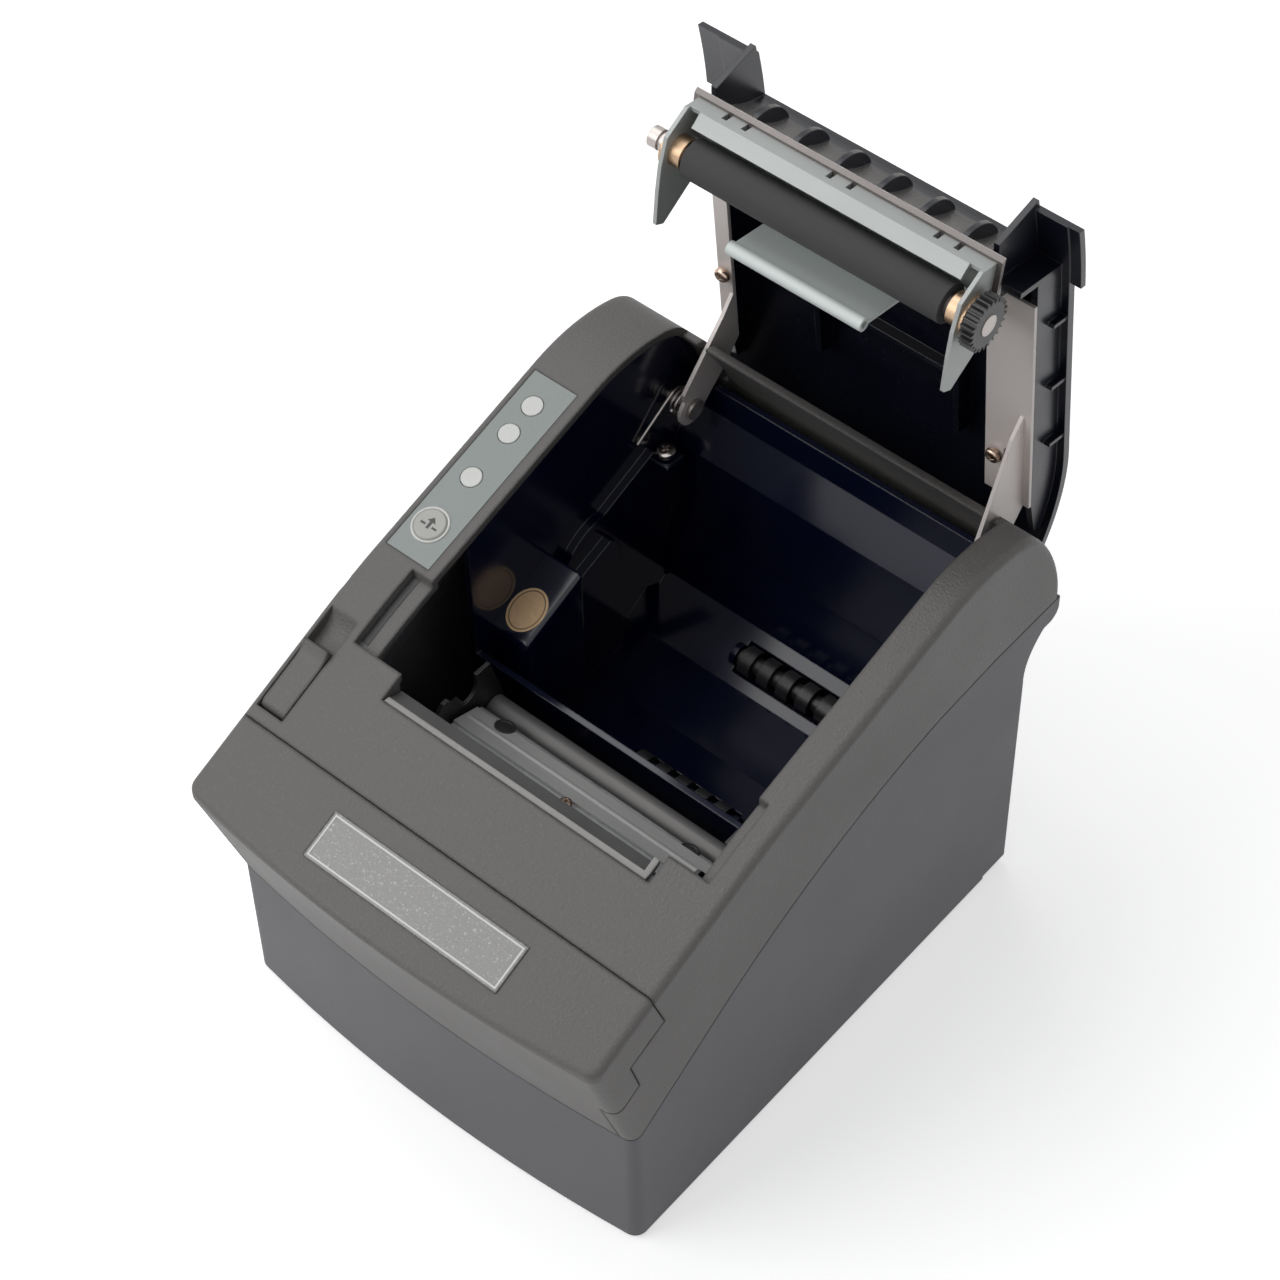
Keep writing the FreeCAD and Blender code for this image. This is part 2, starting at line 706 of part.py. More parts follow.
def corners_of(x0, x1, y0, y1):
    return [(x, y) for x in (x0, x1) for y in (y0, y1)]


def mechanism_post_places():
    return corners_of(PAPER_X - 36.0, PAPER_X + 36.0, FRAME_FRONT_Y + 5.0, FRAME_REAR_Y - 5.0)


def foot_places():
    return corners_of(17.5 - HALF, HALF - 17.5, 18.0, BASE_DEPTH - 18.0)


def base_screw_places():
    return corners_of(8.5 - HALF, HALF - 8.5, 14.0, BASE_DEPTH - 13.0)


def bin_post_places():
    return corners_of(BIN_LEFT + 2.5, BIN_RIGHT - 4.5, BIN_FLAT_FRONT + 3.0, BIN_FLAT_REAR - 3.0)


def board_post_places():
    return corners_of(4.0 - BOARD_HALF, BOARD_HALF - 4.0, BOARD_FRONT_Y + 4.0, BOARD_REAR_Y - 20.0)


def floor_posts(places, side, top):
    """Square posts that stand on the floor of the base."""
    half = side / 2
    return [block(x - half, x + half, y - half, y + half, FLOOR_Z - 0.5, top) for x, y in places]


def lower_case():
    shell = lower_outer().cut(envelope(WALL))
    posts = floor_posts(mechanism_post_places(), 8.0, FRAME_BOTTOM)
    posts += floor_posts(bin_post_places(), 6.0, BIN_FLOOR_Z - BIN_WALL)
    posts += floor_posts(board_post_places(), 6.0, BOARD_Z)
    posts += floor_posts(base_screw_places(), 8.0, FLOOR_Z + 12.0)
    ribs = [block(-HALF + WALL - 0.5, HALF - WALL + 0.5, y, y + 1.6, FLOOR_Z - 0.5, FLOOR_Z + 4.0)
            for y in (40.0, 84.0)]
    shell = fuse(shell, seam_tongue(), *posts, *ribs)
    base_holes = [post(BASE_SCREW_RADIUS + SEAT_GAP, 0, FOOT_PROUD + BASE_SCREW_LENGTH + 0.5, x, y)
                  for x, y in base_screw_places()]
    frame_holes = [post(SCREW_RADIUS + SEAT_GAP, FRAME_BOTTOM - SCREW_BITE - 0.5, FRAME_BOTTOM + 1.0, x, y)
                   for x, y in mechanism_post_places()]
    ports = block(-PORT_HALF, PORT_HALF, BASE_DEPTH - WALL - 1.0, BASE_DEPTH + 1.0, PORT_BOTTOM, PORT_TOP)
    step = block(-HALF, HALF, BASE_DEPTH - 10.5, BASE_DEPTH + 1.0, 0, FOOT_PROUD + 1.2)
    return shell.cut(base_holes + frame_holes + [ports, step])


# Paper bin

def bin_inside(top):
    """Side view of the space in the paper bin: straight facets round the paper roll."""
    rear = BASE_DEPTH
    return polygon([(BIN_FRONT_Y, top),
                    (BIN_FRONT_Y, BIN_FRONT_TOP),
                    (BIN_FRONT_Y + 3.5, BIN_FLOOR_Z + 23.0),
                    (FRONT_ROLLER_Y - 4.6, BIN_FLOOR_Z + 7.5),
                    (BIN_FLAT_FRONT, BIN_FLOOR_Z),
                    (BIN_FLAT_REAR, BIN_FLOOR_Z),
                    (rear - 11.0, BIN_FLOOR_Z + 9.5),
                    (rear - 5.5, BIN_FLOOR_Z + 29.0),
                    (rear - 4.0, SEAM_REAR_Z - 7.0),
                    (rear + 3.5, SEAM_REAR_Z + 5.0),
                    (rear + 3.5, top)])


def roller_places():
    return [FRONT_ROLLER_Y, FRONT_ROLLER_Y + ROLLER_SPACING]


def roller_ears(y):
    """Bearing eyes for one support roller at both ends of its pocket."""
    reach = ROLLER_LENGTH / 2 + POCKET_GAP
    eyes = []
    for x0 in (PAPER_X - reach - EYE_THICKNESS, PAPER_X + reach):
        eyes.append(rod(ROLLER_AXLE_RADIUS + 1.9, x0, x0 + EYE_THICKNESS, y, ROLLER_Z))
    return eyes


def wall_steps():
    """Two stepped pads on the left wall that keep the roll in the middle."""
    z = BIN_FLOOR_Z
    lower = outline((BIN_FRONT_Y + 2.0, z + 10.0),
                    line_to(BIN_FRONT_Y + 5.0, z + 30.0),
                    arc_to((BIN_FRONT_Y + 14.0, z + 38.5), (BIN_FRONT_Y + 28.0, z + 43.0)),
                    line_to(BIN_FLAT_REAR - 12.0, z + 50.0),
                    arc_to((BIN_FLAT_REAR - 9.0, z + 47.0), (BIN_FLAT_REAR - 8.0, z + 42.0)),
                    line_to(BIN_FLAT_REAR - 8.0, z - 1.0),
                    line_to(BIN_FLAT_FRONT, z - 1.0))
    upper = outline((BIN_FLAT_FRONT - 8.0, z + 30.0),
                    line_to(BIN_FLAT_FRONT - 6.0, z + 48.0),
                    arc_to((BIN_FLAT_FRONT, z + 55.0), (BIN_FLAT_FRONT + 12.0, z + 58.0)),
                    line_to(BASE_DEPTH - 16.0, z + 66.0),
                    arc_to((BASE_DEPTH - 13.0, z + 62.0), (BASE_DEPTH - 12.5, z + 56.0)),
                    line_to(BASE_DEPTH - 12.5, z + 6.0))
    return [prism(lower, BIN_LEFT - 0.5, BIN_LEFT + 6.0), prism(upper, BIN_LEFT - 0.5, BIN_LEFT + 2.8)]


def paper_bin():
    top = 4 * FAR
    inside = prism(bin_inside(top), BIN_LEFT, BIN_RIGHT)
    outer_face = Part.Face(Part.Wire(bin_inside(top).makeOffset2D(BIN_WALL, join=2).Edges))
    body = prism(outer_face, BIN_LEFT - BIN_WALL, BIN_RIGHT + BIN_WALL)
    reach = ROLLER_LENGTH / 2 + POCKET_GAP
    pocket_radius = ROLLER_RADIUS + 0.8
    x0 = PAPER_X - reach
    x1 = PAPER_X + reach
    eye_x0 = x0 - EYE_THICKNESS
    eye_x1 = x1 + EYE_THICKNESS
    beds = [rod(pocket_radius + BIN_WALL, eye_x0, eye_x1, y, ROLLER_Z) for y in roller_places()]
    pockets = [rod(pocket_radius, x0, x1, y, ROLLER_Z) for y in roller_places()]
    eyes = [eye for y in roller_places() for eye in roller_ears(y)]
    axles = [rod(ROLLER_AXLE_RADIUS + RUNNING_FIT, eye_x0, eye_x1, y, ROLLER_Z) for y in roller_places()]
    body = fuse(body, *beds).cut(inside)
    body = fuse(body, *eyes, *wall_steps()).cut(pockets + axles)
    front_open = block(BIN_LEFT, BIN_RIGHT, 0, BIN_FRONT_Y + 0.1, BIN_FRONT_TOP, 4 * FAR)
    rear_open = block(BIN_LEFT, BIN_RIGHT, BASE_DEPTH, BASE_DEPTH + FAR, HINGE_Z + 2.0, 4 * FAR)
    pins = rod(HINGE_PIN_RADIUS + SEAT_GAP, BIN_LEFT - FAR, BIN_RIGHT + FAR, HINGE_Y, HINGE_Z)
    return body.cut([front_open, rear_open, pins] + arm_slots()).common(envelope(WALL + 0.2))


def support_roller(y):
    """Ribbed roller: a thin core with raised rings and an axle."""
    x0 = PAPER_X - ROLLER_LENGTH / 2
    x1 = PAPER_X + ROLLER_LENGTH / 2
    reach = POCKET_GAP + EYE_THICKNESS - 0.2
    axle = rod(ROLLER_AXLE_RADIUS, x0 - reach, x1 + reach, y, ROLLER_Z)
    core = rod(ROLLER_RADIUS * 0.6, x0, x1, y, ROLLER_Z)
    step = ROLLER_LENGTH / ROLLER_RINGS
    rings = []
    for i in range(ROLLER_RINGS):
        rings.append(rod(ROLLER_RADIUS, x0 + step * (i + 0.2), x0 + step * (i + 0.8), y, ROLLER_Z))
    return fuse(axle, core, *rings)


# Lid

def lid_flange(x0):
    """Upright stiffening wall under one side of the lid."""
    face = polygon([(LID_EDGE_Y, 4 * FAR),
                    (LID_EDGE_Y, flange_edge(LID_EDGE_Y)),
                    (ARM_REAR_Y, flange_edge(ARM_REAR_Y)),
                    from_crown(28.0, -4.6),
                    (CROWN_START[0] + 28.0, 4 * FAR)])
    return prism(face, x0, x0 + FLANGE_THICKNESS).common(envelope(1.2))


def flange_gussets():
    """Short plates between the right side wall and the edge of the lid."""
    gussets = []
    for y in GUSSET_YS:
        low = flange_edge(y) + 5.0
        gusset = block(ARM_RIGHT_EDGE - 0.5, LID_RIGHT - 0.4, y - 0.6, y + 0.6, low, 4 * FAR)
        gussets.append(gusset.common(envelope(1.2)))
    return gussets


def outlet_beam():
    """Hollow beam over the paper outlet: a concave front, a floor and cells open to the rear."""
    half = EXIT_HALF + EXIT_WALL
    rear = BEAM_FRONT_Y + BEAM_DEPTH
    top_z = KNEE_END[1] - 4.0
    hollow_way = ((LID_EDGE_Y + BEAM_FRONT_Y) / 2 + 1.3, (top_z + BEAM_Z) / 2 - 0.5)
    face = outline((LID_EDGE_Y, 4 * FAR),
                   line_to(LID_EDGE_Y, top_z),
                   arc_to(hollow_way, (BEAM_FRONT_Y, BEAM_Z)),
                   line_to(rear, BEAM_Z),
                   line_to(rear, 4 * FAR))
    body = prism(face, PAPER_X - half, PAPER_X + half).common(envelope(1.2))
    inside = polygon([(BEAM_FRONT_Y + 2.6, BEAM_Z + 2.0),
                      (rear + 1.0, BEAM_Z + 2.0),
                      (rear + 1.0, 4 * FAR),
                      (LID_EDGE_Y + 2.9, 4 * FAR),
                      (LID_EDGE_Y + 2.9, top_z)])
    pitch = 2 * EXIT_HALF / BEAM_CELLS
    cells = []
    for i in range(BEAM_CELLS):
        x0 = PAPER_X - EXIT_HALF + pitch * i
        cells.append(prism(inside, x0 + 0.8, x0 + pitch - 0.8).common(envelope(LID_SKIN)))
    return body.cut(cells)


def outlet_ribs():
    """Comma-shaped ribs that keep the paper off the concave outlet."""
    top_z = KNEE_END[1] - 4.0
    face = outline((BEAM_FRONT_Y + 0.4, BEAM_Z + 0.6),
                   arc_to((BEAM_FRONT_Y + 1.2, BEAM_Z + 11.8), (LID_EDGE_Y - 0.3, top_z - 1.5)),
                   line_to(LID_EDGE_Y + 1.8, top_z - 2.5),
                   line_to(BEAM_FRONT_Y + 3.5, BEAM_Z + 2.3))
    first = PAPER_X - OUTLET_RIB_PITCH * (OUTLET_RIBS - 1) / 2 - OUTLET_RIB / 2
    places = [first + OUTLET_RIB_PITCH * i for i in range(OUTLET_RIBS)]
    return [prism(face, x, x + OUTLET_RIB) for x in places]


def lid_exit_walls():
    """Cheeks on both sides of the paper exit, with a front edge square to the lid."""
    rear = LID_EDGE_Y + 2.0
    face = polygon([local_point(EXIT_WALL_FRONT_Y, 0, 3.0),
                    local_point(EXIT_WALL_FRONT_Y, 0, -EXIT_WALL_DEPTH),
                    (LID_EDGE_Y, BEAM_Z),
                    (rear, BEAM_Z),
                    (rear, 4 * FAR)])
    wall = prism(face, PAPER_X + EXIT_HALF, PAPER_X + EXIT_HALF + EXIT_WALL)
    return [cheek.common(envelope(0.6)) for cheek in mirrored_pair(wall)]


def corner_plates():
    """Rear walls of the two corner pockets, from the exit cheeks to the side walls."""
    inner = EXIT_HALF + EXIT_WALL - 0.4
    left = block(ARM_LEFT_EDGE, PAPER_X - inner, LID_EDGE_Y, LID_EDGE_Y + 1.8, BEAM_Z, 4 * FAR)
    right = block(PAPER_X + inner, ARM_RIGHT_EDGE, LID_EDGE_Y, LID_EDGE_Y + 1.8, BEAM_Z, 4 * FAR)
    return [plate.common(envelope(1.2)) for plate in (left, right)]


def lid_ribs():
    """Lengthwise and cross ribs under the lid skin, and a gusset beside each arm."""
    y0 = KNEE_END[0] + 8.0
    low = polygon([(y0, 4 * FAR),
                   (y0, KNEE_END[1] - 5.0),
                   from_crown(-2.0, -9.0),
                   from_crown(10.0, -5.5),
                   (CROWN_START[0] + 14.0, 4 * FAR)])
    lengthwise = [prism(low, x - 0.9, x + 0.9) for x in (PAPER_X - 24.0, PAPER_X + 24.0)]
    cross = [block(PAPER_X - 24.0, PAPER_X + 24.0, y, y + 1.6, top_height(y) - 6.5, 4 * FAR)
             for y in (KNEE_END[0] + 26.0, KNEE_END[0] + 56.0)]
    wedge = polygon([(y0, 4 * FAR), (y0, KNEE_END[1] - 12.0), (y0 + 24.0, 4 * FAR)])
    gussets = [prism(wedge, x - 0.9, x + 0.9) for x in (ARM_LEFT_EDGE + 16.0, ARM_RIGHT_EDGE - 18.0)]
    return [rib.common(envelope(1.2)) for rib in lengthwise + cross + gussets]


def lid_screw_places():
    left = ARM_LEFT_EDGE + ARM_STRIP_LEFT / 2
    right = ARM_RIGHT_EDGE - ARM_STRIP_RIGHT + 3.6
    return [(left, ARM_FRONT_Y + 6.0), (left, ARM_FRONT_Y + 55.0),
            (right, ARM_FRONT_Y + 6.0), (right, ARM_FRONT_Y + 64.0)]


def on_strip(shape, y):
    """Shape built with Z out of the lid, set on the free edge of the side walls at y."""
    return tilted(shape, math.degrees(math.atan(STRIP_RISE)), y, flange_edge(y))


def lid_screw_holes(radius):
    """Holes square to the arm strips at each screw."""
    hole = Part.makeCylinder(radius, 2 * SCREW_BITE + 1.0, Vector(0, 0, -SCREW_BITE))
    return [on_strip(hole.translated(Vector(x, 0, 0)), y) for x, y in lid_screw_places()]


def screw_bosses():
    """Square bosses between the arm strips and the lid skin."""
    half = ARM_STRIP_LEFT / 2
    bosses = []
    for x, y in lid_screw_places():
        face = polygon([(y - half, 4 * FAR),
                        (y - half, flange_edge(y - half)),
                        (y + half, flange_edge(y + half)),
                        (y + half, 4 * FAR)])
        bosses.append(prism(face, x - half, x + half).common(envelope(1.2)))
    return bosses


def lid_front_cut():
    """Space ahead of the lid: deep between the exit cheeks and shallow at the ears."""
    ears = block(-HALF, HALF, -FAR, EAR_FRONT_Y, 0, 4 * FAR)
    outlet = block(PAPER_X - EXIT_HALF, PAPER_X + EXIT_HALF, -FAR, LID_EDGE_Y, 0, 4 * FAR)
    return fuse(ears, outlet)


def lid_shell(outer):
    """Lid with front ears, side walls, ribs and the paper outlet, in the closed place."""
    skin = outer.cut(envelope(LID_SKIN)).common(lid_plan(LID_SIDE_GAP)).cut(lid_front_cut())
    beside = fuse(block(-HALF, LID_LEFT, 0, EAR_REAR_Y, 60, 4 * FAR),
                  block(LID_RIGHT, HALF, 0, EAR_REAR_Y, 60, 4 * FAR))
    skin = skin.cut(beside.common(envelope(EAR_THICKNESS)))
    flanges = [lid_flange(ARM_LEFT_EDGE), lid_flange(ARM_RIGHT_EDGE - FLANGE_THICKNESS)]
    frames = flanges + flange_gussets() + corner_plates() + lid_exit_walls() + screw_bosses()
    body = fuse(skin, outlet_beam(), *frames, *lid_ribs(), *outlet_ribs())
    body = body.cut(lid_screw_holes(SCREW_RADIUS + SEAT_GAP))
    return body.cut(rod(LID_END_RADIUS, -HALF, HALF, HINGE_Y, HINGE_Z))


def arm_web(x0, front_y):
    """Upright web of a lid arm, from its strip down to the pivot eye."""
    face = polygon([(front_y, flange_edge(front_y)),
                    (front_y + 8.0, flange_edge(front_y) - 4.0),
                    (HINGE_Y - 7.0, HINGE_Z - 5.0),
                    (HINGE_Y - 1.0, HINGE_Z - 3.0),
                    (HINGE_Y + 3.0, HINGE_Z + 4.0),
                    (HINGE_Y - 10.0, HINGE_Z + 14.0),
                    (ARM_REAR_Y, flange_edge(ARM_REAR_Y))])
    eye = rod(ARM_EYE_RADIUS, x0, x0 + ARM_SHEET, HINGE_Y, HINGE_Z)
    return fuse(prism(face, x0, x0 + ARM_SHEET), eye)


def arm_strip(x0, x1):
    """Flat strip that lies on the free edge of a side wall of the lid."""
    ends = ((ARM_FRONT_Y, 0), (ARM_REAR_Y, 0), (ARM_REAR_Y, ARM_SHEET), (ARM_FRONT_Y, ARM_SHEET))
    return prism(polygon([(y, flange_edge(y) - drop) for y, drop in ends]), x0, x1)


def lid_arm(web_x, web_front_y, strip):
    """Bent sheet arm: a strip screwed to the lid and a web down to the hinge pin."""
    arm = fuse(arm_web(web_x, web_front_y), strip)
    pin_hole = rod(HINGE_PIN_RADIUS + RUNNING_FIT, web_x - 1, web_x + ARM_SHEET + 1, HINGE_Y, HINGE_Z)
    return arm.cut([pin_hole] + lid_screw_holes(SCREW_RADIUS + 0.15))


def left_arm():
    strip = arm_strip(ARM_LEFT_EDGE, ARM_LEFT_EDGE + ARM_STRIP_LEFT)
    return lid_arm(LEFT_ARM_X, ARM_FRONT_Y + 61.0, strip)


def right_arm():
    """Right arm, whose wider strip has a lightening slot with round ends."""
    strip = arm_strip(ARM_RIGHT_EDGE - ARM_STRIP_RIGHT, ARM_RIGHT_EDGE)
    middle = RIGHT_ARM_X - 3.2
    y0 = ARM_FRONT_Y + 62.0
    y1 = ARM_REAR_Y - 4.0
    ends = [post(2.0, 60, 4 * FAR, middle, y) for y in (y0, y1)]
    slot = fuse(block(middle - 2.0, middle + 2.0, y0, y1, 60, 4 * FAR), *ends)
    return lid_arm(RIGHT_ARM_X, ARM_FRONT_Y + 42.0, strip.cut(slot))


def lid_screws():
    """Screws through the arm strips into the lid."""
    screw = pan_screw(SCREW_HEAD_RADIUS, SCREW_HEAD_HEIGHT, SCREW_RADIUS, ARM_SHEET + SCREW_BITE)
    screw.rotate(Vector(0, 0, 0), ALONG_X, 180)
    screw.translate(Vector(0, 0, -ARM_SHEET))
    return group(*[on_strip(screw.translated(Vector(x, 0, 0)), y) for x, y in lid_screw_places()])


def hinge_pins():
    """One headed pin for each lid arm, held by the bin wall and a tube of the case."""
    left_x = LEFT_ARM_X + ARM_SHEET + FREE_GAP
    right_x = RIGHT_ARM_X - FREE_GAP
    left = fuse(rod(HINGE_PIN_RADIUS, PIN_LEFT_END + 0.5, left_x, HINGE_Y, HINGE_Z),
                rod(PIN_HEAD_RADIUS, left_x, left_x + PIN_HEAD, HINGE_Y, HINGE_Z))
    right = fuse(rod(HINGE_PIN_RADIUS, right_x, PIN_RIGHT_END - 0.5, HINGE_Y, HINGE_Z),
                 rod(PIN_HEAD_RADIUS, right_x - PIN_HEAD, right_x, HINGE_Y, HINGE_Z))
    return group(left, right)


def coil_point(angle, x):
    return at(HINGE_Y + SPRING_RADIUS * math.cos(angle), HINGE_Z + SPRING_RADIUS * math.sin(angle), x)


def coil_heading(angle, slope):
    """Heading of the wire where it winds clockwise and forward along X."""
    return Vector(math.sin(slope), math.sin(angle) * math.cos(slope), -math.cos(angle) * math.cos(slope))


def arc_middle(start, corner, end):
    """Point half way round the arc that is tangent to both legs of the corner."""
    middle = (start + end) * 0.5
    to_corner = corner - middle
    half = (end - start).Length / 2
    turn = math.atan2(to_corner.Length, half)
    return middle + to_corner.normalize() * (half * math.tan(turn / 2))


def biarc(start, heading, end, end_heading):
    """Two arcs that join start to end and keep both headings."""
    chord = end - start
    both = heading + end_heading
    spread = 2 * (1 - heading.dot(end_heading))
    along = chord.dot(both)
    reach = (-along + math.sqrt(along ** 2 + spread * chord.dot(chord))) / spread
    first = start + heading * reach
    second = end - end_heading * reach
    joint = (first + second) * 0.5
    return [Part.Arc(start, arc_middle(start, first, joint), joint).toShape(),
            Part.Arc(joint, arc_middle(joint, second, end), end).toShape()]


def wire_section(centre, heading):
    """Eight-sided section of the spring wire, square to its heading."""
    across = heading.cross(ALONG_X).normalize()
    other = heading.cross(across)
    corners = []
    for i in range(SPRING_SIDES + 1):
        turn = 2 * math.pi * i / SPRING_SIDES
        corners.append(centre + (across * math.cos(turn) + other * math.sin(turn)) * (SPRING_WIRE / 2))
    return Part.makePolygon(corners)


def least_gap(path, wire):
    """Smallest clear distance between stretches of a wire that are not neighbours."""
    points = path.discretize(Distance=wire / 3)
    apart = 12
    nearest = min((points[i] - points[j]).Length
                  for i in range(len(points)) for j in range(i + apart, len(points)))
    return nearest - wire


def lid_spring():
    """Torsion spring round the left hinge pin, one wire with a leg at each end."""
    slope = math.atan2(SPRING_PITCH, 2 * math.pi * SPRING_RADIUS)
    quarter = math.pi / 2
    angles = [SPRING_START - quarter * i for i in range(SPRING_QUARTERS + 1)]
    xs = [SPRING_X + SPRING_PITCH / 4 * i for i in range(SPRING_QUARTERS + 1)]
    edges = []
    first_heading = coil_heading(angles[0], slope)
    start = coil_point(angles[0], xs[0]) - first_heading * SPRING_REAR_LEG
    edges.append(Part.LineSegment(start, coil_point(angles[0], xs[0])).toShape())
    for i in range(SPRING_QUARTERS):
        edges += biarc(coil_point(angles[i], xs[i]), coil_heading(angles[i], slope),
                       coil_point(angles[i + 1], xs[i + 1]), coil_heading(angles[i + 1], slope))
    last_heading = coil_heading(angles[-1], slope)
    last = coil_point(angles[-1], xs[-1])
    edges.append(Part.LineSegment(last, last + last_heading * SPRING_FRONT_LEG).toShape())
    path = Part.Wire(edges)
    print("least gap of the spring to itself %.2f" % least_gap(path, SPRING_WIRE))
    return path.makePipeShell([wire_section(start, first_heading)], True, False)


# Platen carried by the lid

def bracket_profile():
    """Side view of the bent sheet: top plate, riser, blade shelf and a folded front lip."""
    shelf = BLADE_SEAT_Z
    front = BRACKET_FRONT_Y
    riser = BRACKET_FRONT_Y + 9.4
    return polygon([(BRACKET_REAR_Y, BEAM_Z),
                    (riser, BEAM_Z),
                    (riser, shelf),
                    (front, shelf),
                    (front, shelf - 5.3),
                    (front + 3.4, shelf - 8.3),
                    (front + 4.2, shelf - 7.4),
                    (front + ARM_SHEET, shelf - 4.8),
                    (front + ARM_SHEET, shelf - ARM_SHEET),
                    (riser + ARM_SHEET, shelf - ARM_SHEET),
                    (riser + ARM_SHEET, BEAM_Z - ARM_SHEET),
                    (BRACKET_REAR_Y, BEAM_Z - ARM_SHEET)])


def bracket_cheek():
    """Bearing cheek on the right, with a tail that runs back and down behind the platen."""
    y = PLATEN_Y
    z = PLATEN_Z
    face = polygon([(BRACKET_FRONT_Y, BLADE_SEAT_Z),
                    (BRACKET_FRONT_Y + 9.4, BLADE_SEAT_Z),
                    (BRACKET_FRONT_Y + 9.4, BEAM_Z),
                    (BRACKET_REAR_Y, BEAM_Z),
                    (BRACKET_REAR_Y, z + 8.0),
                    (y + 22.5, z - 2.5),
                    (y + 21.5, z - 5.7),
                    (y + 10.4, z - 6.5),
                    (y + 2.5, z - 6.6),
                    (y - 6.0, z - 5.4),
                    (BRACKET_FRONT_Y, z + 2.0)])
    return prism(face, PAPER_X + CHEEK_X, PAPER_X + CHEEK_X + ARM_SHEET)


def platen_bracket():
    """Bent sheet bracket with two bearing cheeks and a notched lip."""
    sheet = prism(bracket_profile(), PAPER_X - CHEEK_X - ARM_SHEET, PAPER_X + CHEEK_X + ARM_SHEET)
    notches = []
    for middle in (PAPER_X - NOTCH_SPACING, PAPER_X, PAPER_X + NOTCH_SPACING):
        for x in (middle - 3.2, middle + 3.2):
            notches.append(block(x - 0.8, x + 0.8, BRACKET_FRONT_Y - 1, BRACKET_FRONT_Y + 3.0,
                                 BLADE_SEAT_Z - 3.0, BLADE_SEAT_Z + 1))
    fold_end = block(PAPER_X + FRAME_HALF - 1.0, PAPER_X + CHEEK_X + 2 * ARM_SHEET,
                     BRACKET_FRONT_Y - 1, BRACKET_FRONT_Y + 6.0, 0, BLADE_SEAT_Z - 4.8)
    sheet = sheet.cut(notches + mirrored_pair(fold_end))
    body = fuse(sheet, *mirrored_pair(bracket_cheek()))
    return body.cut(rod(BUSH_RADIUS + SEAT_GAP, -HALF, HALF, PLATEN_Y, PLATEN_Z))


def fixed_blade():
    """Fixed blade on the bracket's shelf, ground to an edge that meets the moving blade."""
    top = BLADE_SEAT_Z + BLADE_THICKNESS
    rear = BRACKET_FRONT_Y + 9.3
    face = polygon([(BRACKET_FRONT_Y - 2.0, top),
                    (rear, top),
                    (rear, BLADE_SEAT_Z),
                    (BRACKET_FRONT_Y - 0.8, BLADE_SEAT_Z)])
    return prism(face, PAPER_X - FIXED_BLADE_HALF, PAPER_X + FIXED_BLADE_HALF)


def paper_guide_plate():
    """Sheet that leads the paper round the platen, with a rolled lower edge."""
    sheet = 1.0
    top = BEAM_Z - ARM_SHEET
    rear = BRACKET_REAR_Y + 2.0
    roll_z = PLATEN_Z - 6.6
    x0 = PAPER_X - GUIDE_PLATE_HALF
    x1 = PAPER_X + GUIDE_PLATE_HALF
    tab = block(x0, x1, BRACKET_REAR_Y - 7.0, rear, top - sheet, top)
    upright = block(x0, x1, rear - sheet, rear, roll_z, top)
    roll = rod(2.0, x0, x1, rear - sheet / 2, roll_z)
    hollow = rod(1.1, x0 - 1, x1 + 1, rear - sheet / 2, roll_z)
    return fuse(tab, upright, roll).cut(hollow)


def platen_bushings():
    outer = CHEEK_X + ARM_SHEET
    sleeve = rod(BUSH_RADIUS, PAPER_X + PLATEN_HALF + 1.5, PAPER_X + outer, PLATEN_Y, PLATEN_Z)
    flange = rod(BUSH_RADIUS + 1.2, PAPER_X + outer, PAPER_X + outer + 1.0, PLATEN_Y, PLATEN_Z)
    bush = fuse(sleeve, flange).cut(rod(SHAFT_RADIUS + RUNNING_FIT, -HALF, HALF, PLATEN_Y, PLATEN_Z))
    return group(*mirrored_pair(bush))


def platen_shaft():
    """Shaft with a groove for its clip at the left end."""
    left = PAPER_X - CHEEK_X - 8.4
    right = PAPER_X + GEAR_B[1] + 0.2
    shaft = rod(SHAFT_RADIUS, left, right, PLATEN_Y, PLATEN_Z)
    groove = rod(SHAFT_RADIUS + 1, left + 3.0, left + 3.8, PLATEN_Y, PLATEN_Z)
    groove = groove.cut(rod(SHAFT_RADIUS - 0.6, left, left + 6, PLATEN_Y, PLATEN_Z))
    return shaft.cut(groove)


def platen_rubber():
    tube = rod(PLATEN_RADIUS, PAPER_X - PLATEN_HALF, PAPER_X + PLATEN_HALF, PLATEN_Y, PLATEN_Z)
    return tube.cut(rod(SHAFT_RADIUS + SEAT_GAP, -HALF, HALF, PLATEN_Y, PLATEN_Z))


def platen_gear():
    x0 = PAPER_X + GEAR_B[0]
    x1 = PAPER_X + GEAR_B[1]
    gear = gear_x(PLATEN_TEETH, GEAR_MODULE, PLATEN_PHASE, x0, x1, PLATEN_Y, PLATEN_Z)
    return gear.cut(rod(SHAFT_RADIUS + SEAT_GAP, -HALF, HALF, PLATEN_Y, PLATEN_Z))


# Print mechanism in the base

def frame_plate():
    """Side plate with an open notch that takes the platen bushing."""
    top = PLATEN_Z + 3.0
    face = polygon([(FRAME_FRONT_Y, FRAME_BOTTOM),
                    (FRAME_REAR_Y, FRAME_BOTTOM),
                    (FRAME_REAR_Y, PLATEN_Z - 18.0),
                    (PLATEN_Y + 10.0, top),
                    (PLATEN_Y - 9.0, top),
                    (PLATEN_Y - 12.0, PLATEN_Z),
                    (FRAME_FRONT_Y, PLATEN_Z)])
    plate = prism(face, PAPER_X + FRAME_HALF, PAPER_X + FRAME_HALF + ARM_SHEET)
    return plate.cut(bush_notch())


